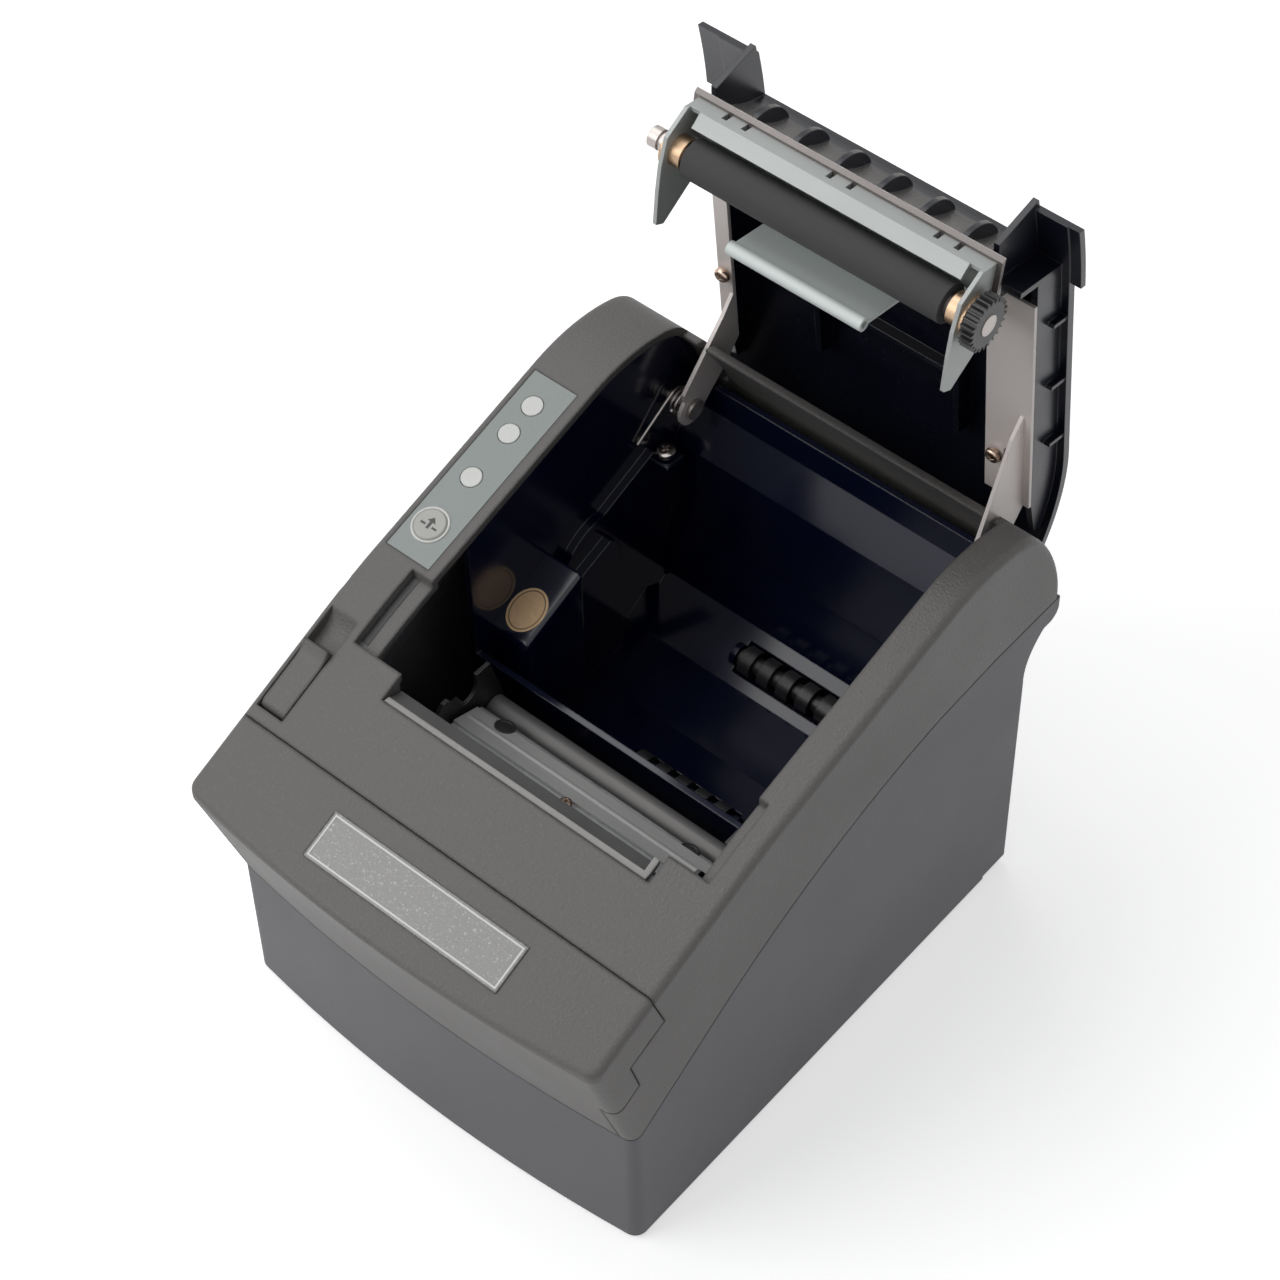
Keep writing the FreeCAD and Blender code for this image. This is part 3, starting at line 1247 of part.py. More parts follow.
def bush_notch():
    """Notch with a round bottom and a flared mouth, along the way the platen comes down."""
    radius = BUSH_RADIUS + FREE_GAP
    mouth = outline((-radius, 0),
                    arc_to((0, -radius), (radius, 0)),
                    line_to(radius, 1.0),
                    line_to(radius + 1.6, 6.0),
                    line_to(-radius - 1.6, 6.0),
                    line_to(-radius, 1.0))
    return tilted(prism(mouth, PAPER_X, HALF), 90 + math.degrees(CLOSING), PLATEN_Y, PLATEN_Z)


def mechanism_frame():
    outer = FRAME_HALF + ARM_SHEET
    x0 = PAPER_X - outer
    x1 = PAPER_X + outer
    under = FRAME_BOTTOM - 1
    over = FRAME_BOTTOM + 3
    floor = block(x0, x1, FRAME_FRONT_Y, FRAME_REAR_Y, FRAME_BOTTOM, FRAME_BOTTOM + ARM_SHEET)
    tie = block(x0, x1, PLATEN_Y - 2.0, PLATEN_Y + 10.0, TIE_Z, TIE_Z + ARM_SHEET)
    body = fuse(floor, tie, *mirrored_pair(frame_plate()))
    holes = [post(SCREW_RADIUS + 0.15, under, over, x, y) for x, y in mechanism_post_places()]
    ribbon = block(RIBBON_X0 - 1.0, RIBBON_X1 + 1.0, RIBBON_Y - 2.0, RIBBON_Y + 2.0, under, over)
    pin = rod(HEAD_PIN_RADIUS + SEAT_GAP, x0 - 1, x1 + 1, *head_point(*HEAD_PIVOT))
    bar = rod(GUIDE_BAR_END + SEAT_GAP, x0 - 1, x1 + 1, GUIDE_BAR_Y, GUIDE_BAR_Z)
    axles = [rod(POST_RADIUS - 0.8 + SEAT_GAP, PAPER_X, x1 + 1, *place)
             for place in (IDLER_PLACE, REDUCTION_PLACE)]
    motor = rod(3.5, PAPER_X, x1 + 1, *PINION_PLACE)
    return body.cut(holes + axles + [ribbon, pin, bar, motor])


def mechanism_screws():
    """Screws through the floor of the frame into the posts of the base."""
    screw = pan_screw(SCREW_HEAD_RADIUS, SCREW_HEAD_HEIGHT, SCREW_RADIUS, ARM_SHEET + SCREW_BITE)
    seat = FRAME_BOTTOM + ARM_SHEET
    return group(*[screw.translated(Vector(x, y, seat)) for x, y in mechanism_post_places()])


def head_point(y, z):
    """Point given in the tilted axes of the print head, whose origin touches the platen."""
    turn = math.radians(HEAD_TILT)
    origin_y = PLATEN_Y - PLATEN_RADIUS * math.sin(turn)
    origin_z = PLATEN_Z - PLATEN_RADIUS * math.cos(turn)
    return (origin_y + y * math.cos(turn) + z * math.sin(turn),
            origin_z - y * math.sin(turn) + z * math.cos(turn))


def on_head(shape):
    return tilted(shape, -HEAD_TILT, *head_point(0, 0))


def thermal_head():
    """Ceramic plate with the glaze ridge of the heater line along it."""
    plate = block(PAPER_X - HEAD_HALF, PAPER_X + HEAD_HALF, -5.2, 5.0, -1.3 - FREE_GAP, -0.4 - FREE_GAP)
    ridge = rod(1.2, PAPER_X - HEAD_HALF + 1.0, PAPER_X + HEAD_HALF - 1.0, 0, -1.2 - FREE_GAP)
    return on_head(fuse(plate, ridge.common(block(-HALF, HALF, -3, 3, -1.0 - FREE_GAP, 0))))


def head_heatsink():
    """Heat sink behind the ceramic with fins beneath, and lugs for the pivot pin."""
    top = -1.3 - FREE_GAP
    x0 = PAPER_X - HEAD_HALF
    x1 = PAPER_X + HEAD_HALF
    plate = block(x0, x1, -9.0, 7.0, top - 2.2, top)
    fins = [block(x0, x1, y, y + 1.4, top - 4.6, top - 2.0) for y in (-2.0, 1.0, 4.0)]
    lug = block(x1 - 4.0, x1, -9.0, -4.0, HEAD_PIVOT[1] - 3.0, top - 2.0)
    body = fuse(plate, *fins, *mirrored_pair(lug))
    body = body.cut(rod(HEAD_PIN_RADIUS + RUNNING_FIT, -HALF, HALF, *HEAD_PIVOT))
    screw_seat = Part.makeCylinder(1.4, 10, Vector(PAPER_X, -7.5, -8))
    return on_head(body.cut(screw_seat))


def head_screw():
    screw = pan_screw(1.9, 1.2, 1.25, 3.0)
    return on_head(screw.translated(Vector(PAPER_X, -7.5, -1.3 - FREE_GAP)))


def head_pivot_pin():
    outer = FRAME_HALF + ARM_SHEET
    return rod(HEAD_PIN_RADIUS, PAPER_X - outer, PAPER_X + outer, *head_point(*HEAD_PIVOT))


def head_spring():
    """Leaf spring that presses the head against the platen."""
    foot_z = TIE_Z + ARM_SHEET
    top_y, top_z = head_point(3.0, -5.9 - FREE_GAP)
    sheet = 0.5
    face = outline((PLATEN_Y + 9.0, foot_z),
                   line_to(PLATEN_Y + 9.0, foot_z + sheet),
                   line_to(PLATEN_Y + 1.5, foot_z + sheet),
                   arc_to((PLATEN_Y - 2.2, foot_z + 4.4), (PLATEN_Y + 0.3, top_z - 1.4)),
                   line_to(top_y + 0.8, top_z - 0.3),
                   line_to(top_y + 0.5, top_z + 0.25),
                   line_to(PLATEN_Y - 0.2, top_z - 0.9),
                   arc_to((PLATEN_Y - 2.75, foot_z + 4.4), (PLATEN_Y + 1.4, foot_z)))
    return prism(face, PAPER_X - 7.0, PAPER_X + 7.0)


def paper_guide_bar():
    """Bright bar that the paper runs over, necked at both ends."""
    half = FRAME_HALF - FREE_GAP
    bar = rod(4.0, PAPER_X - half, PAPER_X + half, GUIDE_BAR_Y, GUIDE_BAR_Z)
    outer = FRAME_HALF + ARM_SHEET
    neck = rod(GUIDE_BAR_END, PAPER_X - outer, PAPER_X + outer, GUIDE_BAR_Y, GUIDE_BAR_Z)
    return fuse(bar, neck)


def lid_switch():
    """Small switch beside the frame that feels the closed lid."""
    x1 = PAPER_X - FRAME_HALF - ARM_SHEET
    body = block(x1 - 5.2, x1, PLATEN_Y - 8.0, PLATEN_Y + 2.0, PLATEN_Z - 20.0, PLATEN_Z - 9.0)
    plunger = block(x1 - 3.6, x1 - 1.8, PLATEN_Y - 4.5, PLATEN_Y - 1.5, PLATEN_Z - 9.5, PLATEN_Z - 7.4)
    return fuse(body, plunger)


def paper_sensor():
    """Reflective sensor looking up at the paper from the rear of the frame."""
    z0 = TIE_Z + ARM_SHEET
    y0 = PLATEN_Y + 4.0
    body = block(PAPER_X - 26.0, PAPER_X - 18.0, y0, y0 + 5.0, z0, z0 + 3.2)
    eyes = [post(1.1, z0 + 3.0, z0 + 3.8, PAPER_X - 22.0 + dx, y0 + 2.5) for dx in (-1.9, 1.9)]
    return fuse(body, *eyes)


def ribbon_outline():
    """Side view of the flat cable from the print head down to the main board."""
    start = head_point(-7.0, -4.4 - FREE_GAP)
    points = [(start[0] - 1.2, start[1]), (RIBBON_Y, start[1] - 6.0), (RIBBON_Y, FRAME_BOTTOM - 6.0),
              (RIBBON_Y + 14.0, BOARD_Z + 14.0), (BOARD_FRONT_Y - 1.0, BOARD_Z + 4.2)]
    other = [(y + 0.4, z + 0.15) for y, z in reversed(points)]
    return points + other


def head_ribbon():
    return prism(polygon(ribbon_outline()), RIBBON_X0, RIBBON_X1)


# Feed drive

def step_from(place, distance, direction):
    return (place[0] + distance * math.cos(direction), place[1] + distance * math.sin(direction))


PLATEN_PHASE = 0.0
CLOSING = math.atan2(PLATEN_Y - HINGE_Y, HINGE_Z - PLATEN_Z)
REDUCTION_SIDE = math.radians(200)
PINION_SIDE = math.radians(232)
IDLER_REACH = centre_distance(GEAR_MODULE, PLATEN_TEETH, IDLER_TEETH)
REDUCTION_REACH = centre_distance(GEAR_MODULE, IDLER_TEETH, REDUCTION_SMALL_TEETH)
PINION_REACH = centre_distance(GEAR_MODULE, REDUCTION_LARGE_TEETH, FEED_PINION_TEETH)
IDLER_PLACE = step_from((PLATEN_Y, PLATEN_Z), IDLER_REACH, CLOSING)
REDUCTION_PLACE = step_from(IDLER_PLACE, REDUCTION_REACH, REDUCTION_SIDE)
PINION_PLACE = step_from(REDUCTION_PLACE, PINION_REACH, PINION_SIDE)
IDLER_PHASE = meshed_phase(PLATEN_PHASE, PLATEN_TEETH, IDLER_TEETH, CLOSING)


def feed_idler():
    x0 = PAPER_X + GEAR_B[0]
    x1 = PAPER_X + GEAR_B[1]
    gear = gear_x(IDLER_TEETH, GEAR_MODULE, IDLER_PHASE, x0, x1, *IDLER_PLACE)
    return gear.cut(rod(POST_RADIUS + RUNNING_FIT, 0, HALF, *IDLER_PLACE))


def feed_reduction():
    """Double gear: the large wheel is driven by the motor, the small one drives the idler."""
    x0 = PAPER_X + GEAR_A[0]
    x1 = PAPER_X + GEAR_A[1]
    phase = meshed_phase(IDLER_PHASE, IDLER_TEETH, REDUCTION_SMALL_TEETH, REDUCTION_SIDE)
    small = gear_x(REDUCTION_SMALL_TEETH, GEAR_MODULE, phase, x1 - 0.5, PAPER_X + GEAR_B[1], *REDUCTION_PLACE)
    large = gear_x(REDUCTION_LARGE_TEETH, GEAR_MODULE, 0.0, x0, x1, *REDUCTION_PLACE)
    return fuse(small, large).cut(rod(POST_RADIUS + RUNNING_FIT, 0, HALF, *REDUCTION_PLACE))


def feed_pinion():
    phase = meshed_phase(0.0, REDUCTION_LARGE_TEETH, FEED_PINION_TEETH, PINION_SIDE)
    x0 = PAPER_X + GEAR_A[0]
    x1 = PAPER_X + GEAR_A[1] + 1.5
    gear = gear_x(FEED_PINION_TEETH, GEAR_MODULE, phase, x0, x1, *PINION_PLACE)
    shaft = rod(1.5, PAPER_X + FRAME_HALF - 2.0, x0 + 0.5, *PINION_PLACE)
    return fuse(gear, shaft)


def gear_posts():
    """Fixed posts with a small end disc, on which the feed gears turn."""
    x0 = PAPER_X + FRAME_HALF + ARM_SHEET
    posts = []
    for place in (IDLER_PLACE, REDUCTION_PLACE):
        root = rod(POST_RADIUS - 0.8, x0 - ARM_SHEET, x0 + 0.2, *place)
        stem = rod(POST_RADIUS, x0, PAPER_X + GEAR_B[1] + FREE_GAP, *place)
        clip = rod(POST_RADIUS + 0.9, PAPER_X + GEAR_B[1] + FREE_GAP, PAPER_X + GEAR_B[1] + 0.9, *place)
        posts.append(fuse(root, stem, clip))
    spacer = rod(POST_RADIUS + 0.6, x0, PAPER_X + GEAR_B[0] - FREE_GAP, *IDLER_PLACE)
    posts[0] = fuse(posts[0], spacer)
    return group(*posts)


def feed_motor():
    """Round stepping motor inside the right frame plate with its two mounting ears."""
    x1 = PAPER_X + FRAME_HALF
    can = rod(FEED_MOTOR_RADIUS, x1 - 24.0, x1, *PINION_PLACE)
    ear_places = ((0.0, FEED_MOTOR_RADIUS + 1.5), (-FEED_MOTOR_RADIUS * 0.8, -FEED_MOTOR_RADIUS * 0.72))
    ears = [rod(3.2, x1 - 1.0, x1, PINION_PLACE[0] + dy, PINION_PLACE[1] + dz) for dy, dz in ear_places]
    plug = block(x1 - 18.0, x1 - 10.0, PINION_PLACE[0] - 5.0, PINION_PLACE[0] + 5.0,
                 PINION_PLACE[1] - FEED_MOTOR_RADIUS - 0.6, PINION_PLACE[1] - FEED_MOTOR_RADIUS + 3.0)
    body = fuse(can, plug, *ears)
    return body.cut(rod(1.5 + RUNNING_FIT, x1 - 2.2, x1 + 1, *PINION_PLACE))


# Paper cutter

def cutter_housing():
    """Plate on the frame with two grooved guides for the moving blade."""
    plate = block(PAPER_X - 46.0, PAPER_X + 46.0, CUTTER_FRONT_Y, CUTTER_REAR_Y, PLATEN_Z, CUTTER_FLOOR)
    guide = block(PAPER_X + BLADE_HALF - 1.0, PAPER_X + 45.9, CUTTER_GEAR_Y + 2.0, CUTTER_REAR_Y,
                  PLATEN_Z, BLADE_Z + BLADE_THICKNESS + 2.3)
    groove = block(PAPER_X, PAPER_X + BLADE_HALF + 0.3, 0, CUTTER_REAR_Y + 1, BLADE_Z - FREE_GAP,
                   BLADE_Z + BLADE_THICKNESS + FREE_GAP)
    pivot = post(2.5, PLATEN_Z, CUTTER_GEAR_Z[1] - 0.4, CUTTER_GEAR_X, CUTTER_GEAR_Y)
    boss = post(4.0, PLATEN_Z, CUTTER_GEAR_Z[0] - FREE_GAP, CUTTER_GEAR_X, CUTTER_GEAR_Y)
    body = fuse(plate, pivot, boss, *mirrored_pair(guide.cut(groove)))
    shaft_hole = post(2.0, PLATEN_Z - 1, CUTTER_FLOOR + 1, CUTTER_PINION_X, CUTTER_GEAR_Y)
    return body.cut(shaft_hole)


def cutter_gear():
    low, high = CUTTER_GEAR_Z
    gear = gear_z(CUTTER_TEETH, CUTTER_MODULE, 0.0, low, high, CUTTER_GEAR_X, CUTTER_GEAR_Y)
    return gear.cut(post(2.5 + RUNNING_FIT, CUTTER_FLOOR, FAR * 3, CUTTER_GEAR_X, CUTTER_GEAR_Y))


def cutter_pinion():
    phase = meshed_phase(0.0, CUTTER_TEETH, CUTTER_PINION_TEETH, math.pi)
    gear = gear_z(CUTTER_PINION_TEETH, CUTTER_MODULE, phase, CUTTER_GEAR_Z[0], CUTTER_GEAR_Z[1],
                  CUTTER_PINION_X, CUTTER_GEAR_Y)
    shaft = post(1.25, PLATEN_Z - 2.5, CUTTER_GEAR_Z[0] + 0.5, CUTTER_PINION_X, CUTTER_GEAR_Y)
    return fuse(gear, shaft)


def cutter_motor():
    can = post(CUTTER_MOTOR_RADIUS, PLATEN_Z - 27.5, PLATEN_Z, CUTTER_PINION_X, CUTTER_GEAR_Y)
    cap = post(CUTTER_MOTOR_RADIUS - 3.0, PLATEN_Z - 29.5, PLATEN_Z - 27.0, CUTTER_PINION_X, CUTTER_GEAR_Y)
    bore = post(1.25 + RUNNING_FIT, PLATEN_Z - 2.8, PLATEN_Z + 1, CUTTER_PINION_X, CUTTER_GEAR_Y)
    return fuse(can, cap).cut(bore)


def rack_points():
    """Plan of the rack: teeth facing the gear on the left, a straight back on the right."""
    pitch = math.pi * CUTTER_MODULE
    line_x = CUTTER_GEAR_X + CUTTER_TEETH * CUTTER_MODULE / 2
    half_tip = pitch / 4 - 0.1 * CUTTER_MODULE - rise(0.85 * CUTTER_MODULE, 20)
    half_root = pitch / 4 - 0.1 * CUTTER_MODULE + rise(1.2 * CUTTER_MODULE, 20)
    points = []
    for i in range(RACK_TEETH):
        middle = CUTTER_GEAR_Y + (i - RACK_TEETH_AHEAD + 0.5) * pitch
        points.append((line_x + 1.2 * CUTTER_MODULE, middle - half_root))
        points.append((line_x - 0.85 * CUTTER_MODULE, middle - half_tip))
        points.append((line_x - 0.85 * CUTTER_MODULE, middle + half_tip))
        points.append((line_x + 1.2 * CUTTER_MODULE, middle + half_root))
    back = line_x + 7.0
    return points + [(back, points[-1][1]), (back, points[0][1])]


def blade_carrier():
    """Rack with a cross plate that carries the blade."""
    points = [Vector(x, y, CUTTER_GEAR_Z[0]) for x, y in rack_points()]
    face = Part.Face(Part.makePolygon(points + points[:1]))
    rack = face.extrude(Vector(0, 0, CUTTER_GEAR_Z[1] - CUTTER_GEAR_Z[0]))
    back = points[-1].x
    y0 = CUTTER_GEAR_Y + 1.0
    y1 = CUTTER_GEAR_Y + 14.0
    arm = block(back - 4.5, back, y0, y1, CUTTER_GEAR_Z[0], BLADE_Z)
    cross = block(PAPER_X - 25.0, PAPER_X + 25.0, y0, y1, CUTTER_GEAR_Z[1] + FREE_GAP, BLADE_Z)
    return fuse(rack, arm, cross)


def moving_blade():
    """Blade with a shallow V edge, held in the guide grooves."""
    y0 = CUTTER_GEAR_Y
    y1 = CUTTER_REAR_Y
    points = [(-BLADE_HALF, y0), (BLADE_HALF, y0), (BLADE_HALF, y1), (0, y1 - 4.0), (-BLADE_HALF, y1)]
    points = [Vector(PAPER_X + x, y, BLADE_Z) for x, y in points]
    face = Part.Face(Part.makePolygon(points + points[:1]))
    blade = face.extrude(Vector(0, 0, BLADE_THICKNESS))
    windows = [block(PAPER_X + x - 5.0, PAPER_X + x + 5.0, y0 + 16.0, y0 + 18.0, BLADE_Z - 1, BLADE_Z + 2)
               for x in (-26.0, 26.0)]
    return blade.cut(windows)


# Controls

def control_film():
    """Film in the panel recess with openings for the lights and the button."""
    length = panel_local(PANEL_REAR_Y)
    film = block(PANEL_LEFT + 0.15, PANEL_LEFT + PANEL_WIDTH - 0.15, 0.15, length - 0.15,
                 SEAT_GAP - FILM_THICKNESS, -SEAT_GAP)
    return on_top(film.cut(panel_holes()), PANEL_FRONT_Y)


def status_lights():
    """Three clear light guides that stand over the lamps of the panel board."""
    foot = LAMP_TOP + 0.2
    guides = []
    for y in LIGHT_YS:
        guides.append(Part.makeCylinder(LIGHT_RADIUS, 0.1 - foot, Vector(LIGHT_X, panel_local(y), foot)))
    return on_top(group(*guides), PANEL_FRONT_Y)


def feed_button():
    """Round button with a retaining flange and a stem that reaches its switch."""
    centre = Vector(LIGHT_X, panel_local(BUTTON_Y), 0)
    cap = Part.makeCylinder(BUTTON_RADIUS, WALL + 1.0, centre + Vector(0, 0, -WALL - FREE_GAP - 0.1))
    rim = [edge for edge in cap.Edges if edge.BoundBox.ZMin > 0.5]
    cap = cap.makeChamfer(0.4, rim)
    flange = Part.makeCylinder(BUTTON_RADIUS + 1.1, 1.4, centre + Vector(0, 0, -WALL - FREE_GAP - 1.4))
    stem = Part.makeCylinder(2.0, 4.0, centre + Vector(0, 0, SWITCH_TOP + BUTTON_TRAVEL + FREE_GAP))
    return on_top(fuse(cap, flange, stem), PANEL_FRONT_Y)


def panel_board():
    """Small board under the panel with the lamps and the feed switch."""
    length = panel_local(PANEL_REAR_Y)
    board = block(LIGHT_X - 5.5, LIGHT_X + 5.5, 1.0, length - 1.0, -BOARD_DROP - 1.6, -BOARD_DROP)
    centre_y = panel_local(BUTTON_Y)
    switch = block(LIGHT_X - 3.0, LIGHT_X + 3.0, centre_y - 3.0, centre_y + 3.0,
                   -BOARD_DROP - 0.5, SWITCH_TOP)
    lamps = [block(LIGHT_X - 1.5, LIGHT_X + 1.5, panel_local(y) - 1.5, panel_local(y) + 1.5,
                   -BOARD_DROP - 0.5, LAMP_TOP) for y in LIGHT_YS]
    return on_top(fuse(board, switch, *lamps), PANEL_FRONT_Y)


def release_lever():
    """Lid lever: a flat key with a raised finger edge and a round nose about its pin."""
    x0 = LEVER_X - LEVER_WIDTH / 2
    x1 = LEVER_X + LEVER_WIDTH / 2
    face = outline((LEVER_PIN_ALONG, -3.0),
                   line_to(LEVER_PIN_ALONG, 0),
                   line_to(LEVER_LENGTH - 6.0, 0),
                   arc_to((LEVER_LENGTH - 2.4, 0.8), (LEVER_LENGTH, 2.4)),
                   line_to(LEVER_LENGTH, -3.0))
    nose = rod(LEVER_NOSE_RADIUS, x0, x1, LEVER_PIN_ALONG, LEVER_PIN_OUT)
    body = fuse(prism(face, x0, x1), nose)
    body = body.cut(rod(LEVER_PIN_RADIUS + RUNNING_FIT, -HALF, 0, LEVER_PIN_ALONG, LEVER_PIN_OUT))
    return on_top(body, LEVER_FRONT_Y)


def lever_pin():
    x0 = LEVER_X - LEVER_WIDTH / 2 + 0.8
    x1 = LEVER_X + LEVER_WIDTH / 2 + 2.7
    return on_top(rod(LEVER_PIN_RADIUS, x0, x1, LEVER_PIN_ALONG, LEVER_PIN_OUT), LEVER_FRONT_Y)


# Electronics and rear face

def main_board():
    """Board with chips, capacitors and the head connector."""
    board = block(-BOARD_HALF, BOARD_HALF, BOARD_FRONT_Y, BOARD_REAR_Y, BOARD_Z, BOARD_Z + 1.6)
    z = BOARD_Z + 1.1
    parts = [block(-12.0, 6.0, BOARD_FRONT_Y + 22.0, BOARD_FRONT_Y + 40.0, z, z + 2.0),
             block(18.0, 32.0, BOARD_FRONT_Y + 20.0, BOARD_FRONT_Y + 28.0, z, z + 1.8),
             block(RIBBON_X0 - 2.0, RIBBON_X1 + 2.0, BOARD_FRONT_Y + 0.5, BOARD_FRONT_Y + 6.0, z, z + 5.0)]
    can_places = ((-34.0, BOARD_FRONT_Y + 24.0), (-34.0, BOARD_FRONT_Y + 34.0), (36.0, BOARD_FRONT_Y + 14.0))
    cans = [post(4.0, z, z + 11.0, x, y) for x, y in can_places]
    return fuse(board, *parts, *cans)


def port_body(x, width, height, depth):
    z = BOARD_Z + 1.6
    return block(x - width / 2, x + width / 2, PORT_FACE_Y - depth, PORT_FACE_Y, z, z + height)


def power_inlet():
    """Round power inlet with three contact pins."""
    x = PORTS["power"]
    z = BOARD_Z + 1.6 + 6.5
    y1 = PORT_FACE_Y
    socket = Part.makeCylinder(5.2, 9.0, Vector(x, y1 - 8.0, z), Vector(0, 1, 0))
    body = port_body(x, 13.0, 13.0, 14.0).cut(socket)
    pins = []
    for i in range(3):
        turn = math.radians(90 + 120 * i)
        foot = Vector(x + 2.4 * math.cos(turn), y1 - 8.5, z + 2.4 * math.sin(turn))
        pins.append(Part.makeCylinder(0.8, 7.0, foot, Vector(0, 1, 0)))
    return fuse(body, *pins)


def usb_port():
    x = PORTS["usb"]
    y1 = PORT_FACE_Y
    z = BOARD_Z + 1.6
    hollow = block(x - 5.2, x + 5.2, y1 - 9.0, y1 + 1, z + 1.0, z + 9.8)
    tongue = block(x - 2.8, x + 2.8, y1 - 10.0, y1 - 1.5, z + 4.4, z + 7.0)
    return fuse(port_body(x, 12.0, 10.8, 16.0).cut(hollow), tongue)


def jack(x, width):
    """Modular jack: a square socket with a step for the latch."""
    y1 = PORT_FACE_Y
    z = BOARD_Z + 1.6
    hollow = block(x - width / 2 + 1.2, x + width / 2 - 1.2, y1 - 11.0, y1 + 1, z + 4.4, z + 12.0)
    latch = block(x - 2.2, x + 2.2, y1 - 11.0, y1 + 1, z + 1.6, z + 5.0)
    return port_body(x, width, 13.4, 15.0).cut([hollow, latch])


def power_switch():
    """Frame of the power switch behind the rear plate."""
    x = PORTS["switch"]
    y1 = PLATE_Y + PLATE_SHEET
    body = block(x - 10.0, x + 10.0, y1 - 13.0, y1, SWITCH_Z - 6.5, SWITCH_Z + 6.5)
    bezel = block(x - 11.2, x + 11.2, y1, y1 + 1.2, SWITCH_Z - 7.7, SWITCH_Z + 7.7)
    hollow = block(x - 8.6, x + 8.6, y1 - 7.0, y1 + 3, SWITCH_Z - 5.1, SWITCH_Z + 5.1)
    pins = rod(1.0, x - 9.6, x + 9.6, *rocker_axis())
    return fuse(body, bezel).cut([hollow, pins])


def rocker_axis():
    return (PLATE_Y + PLATE_SHEET - 1.0, SWITCH_Z)


def power_rocker():
    """Rocker that tips about its pivot, shown with its upper half pressed."""
    x = PORTS["switch"]
    y, z = rocker_axis()
    face = outline((-3.0, -3.6),
                   line_to(1.4, -4.4),
                   arc_to((1.6, -0.2), (2.8, 4.0)),
                   line_to(-3.0, 3.6))
    half_tilt = ROCKER_ANGLE / 2
    key = prism(face, x - 8.2, x + 8.2)
    axle = rod(1.0 - RUNNING_FIT, x - 9.4, x + 9.4, 0, 0)
    return tilted(fuse(key, axle), half_tilt, y, z)


def connector_plate():
    """Sheet behind the rear opening, cut out for every socket."""
    half = PORT_HALF + 1.5
    plate = block(-half, half, PLATE_Y, PLATE_Y + PLATE_SHEET, FLOOR_Z + 0.2, PORT_TOP + 1.5)
    z = BOARD_Z + 1.6
    windows = {"power": (6.8, z - 0.3, z + 13.3),
               "drawer": (6.3, z - 0.3, z + 13.7),
               "usb": (6.3, z - 0.3, z + 11.1),
               "network": (8.3, z - 0.3, z + 13.7),
               "switch": (10.3, SWITCH_Z - 6.8, SWITCH_Z + 6.8)}
    cuts = []
    for name, (reach, low, high) in windows.items():
        cuts.append(block(PORTS[name] - reach, PORTS[name] + reach, 0, HUMP_REAR_Y, low, high))
    return plate.cut(cuts)


def rubber_feet():
    return group(*[post(FOOT_RADIUS, 0, FOOT_PROUD, x, y) for x, y in foot_places()])


def base_screws():
    """Screws from below into the posts of the base, with heads that stay above the table."""
    screw = pan_screw(SCREW_HEAD_RADIUS, FOOT_PROUD - 0.5, BASE_SCREW_RADIUS, BASE_SCREW_LENGTH)
    screw.rotate(Vector(0, 0, 0), ALONG_X, 180)
    return group(*[screw.translated(Vector(x, y, FOOT_PROUD)) for x, y in base_screw_places()])


def opened(shape):
    """Lid piece swung from its closed place to the open stop."""
    turned = shape.copy()
    turned.rotate(at(HINGE_Y, HINGE_Z), ALONG_X, -LID_OPEN_ANGLE)
    return turned


def lid_nodes(outer):
    return {"lid_shell": lid_shell(outer),
            "lid_arm_left": left_arm(),
            "lid_arm_right": right_arm(),
            "lid_screws": lid_screws(),
            "platen_bracket": platen_bracket(),
            "fixed_blade": fixed_blade(),
            "paper_guide_plate": paper_guide_plate(),
            "platen_bushings": platen_bushings(),
            "platen_shaft": platen_shaft(),
            "platen_rubber": platen_rubber(),
            "platen_gear": platen_gear()}


def base_nodes(outer):
    front_y, rear_y = roller_places()
    return {"lower_case": lower_case(),
            "upper_case": upper_case(outer),
            "front_cover": front_cover(outer),
            "rubber_feet": rubber_feet(),
            "base_screws": base_screws(),
            "paper_bin": paper_bin(),
            "front_roller": support_roller(front_y),
            "rear_roller": support_roller(rear_y),
            "hinge_pins": hinge_pins(),
            "lid_spring": lid_spring(),
            "control_film": control_film(),
            "status_lights": status_lights(),
            "feed_button": feed_button(),
            "panel_board": panel_board(),
            "release_lever": release_lever(),
            "lever_pin": lever_pin()}


def mechanism_nodes():
    return {"mechanism_frame": mechanism_frame(),
            "mechanism_screws": mechanism_screws(),
            "thermal_head": thermal_head(),
            "head_heatsink": head_heatsink(),
            "head_screw": head_screw(),
            "head_pivot_pin": head_pivot_pin(),
            "head_spring": head_spring(),
            "head_ribbon": head_ribbon(),
            "paper_guide_bar": paper_guide_bar(),
            "paper_sensor": paper_sensor(),
            "lid_switch": lid_switch(),
            "feed_motor": feed_motor(),
            "feed_pinion": feed_pinion(),
            "feed_reduction": feed_reduction(),
            "feed_idler": feed_idler(),
            "gear_posts": gear_posts(),
            "cutter_housing": cutter_housing(),
            "cutter_gear": cutter_gear(),
            "cutter_pinion": cutter_pinion(),
            "cutter_motor": cutter_motor(),
            "blade_carrier": blade_carrier(),
            "moving_blade": moving_blade()}


def electronics_nodes():
    return {"main_board": main_board(),
            "connector_plate": connector_plate(),
            "power_inlet": power_inlet(),
            "drawer_port": jack(PORTS["drawer"], 12.0),
            "usb_port": usb_port(),
            "network_port": jack(PORTS["network"], 16.0),
            "power_switch": power_switch(),
            "power_rocker": power_rocker()}


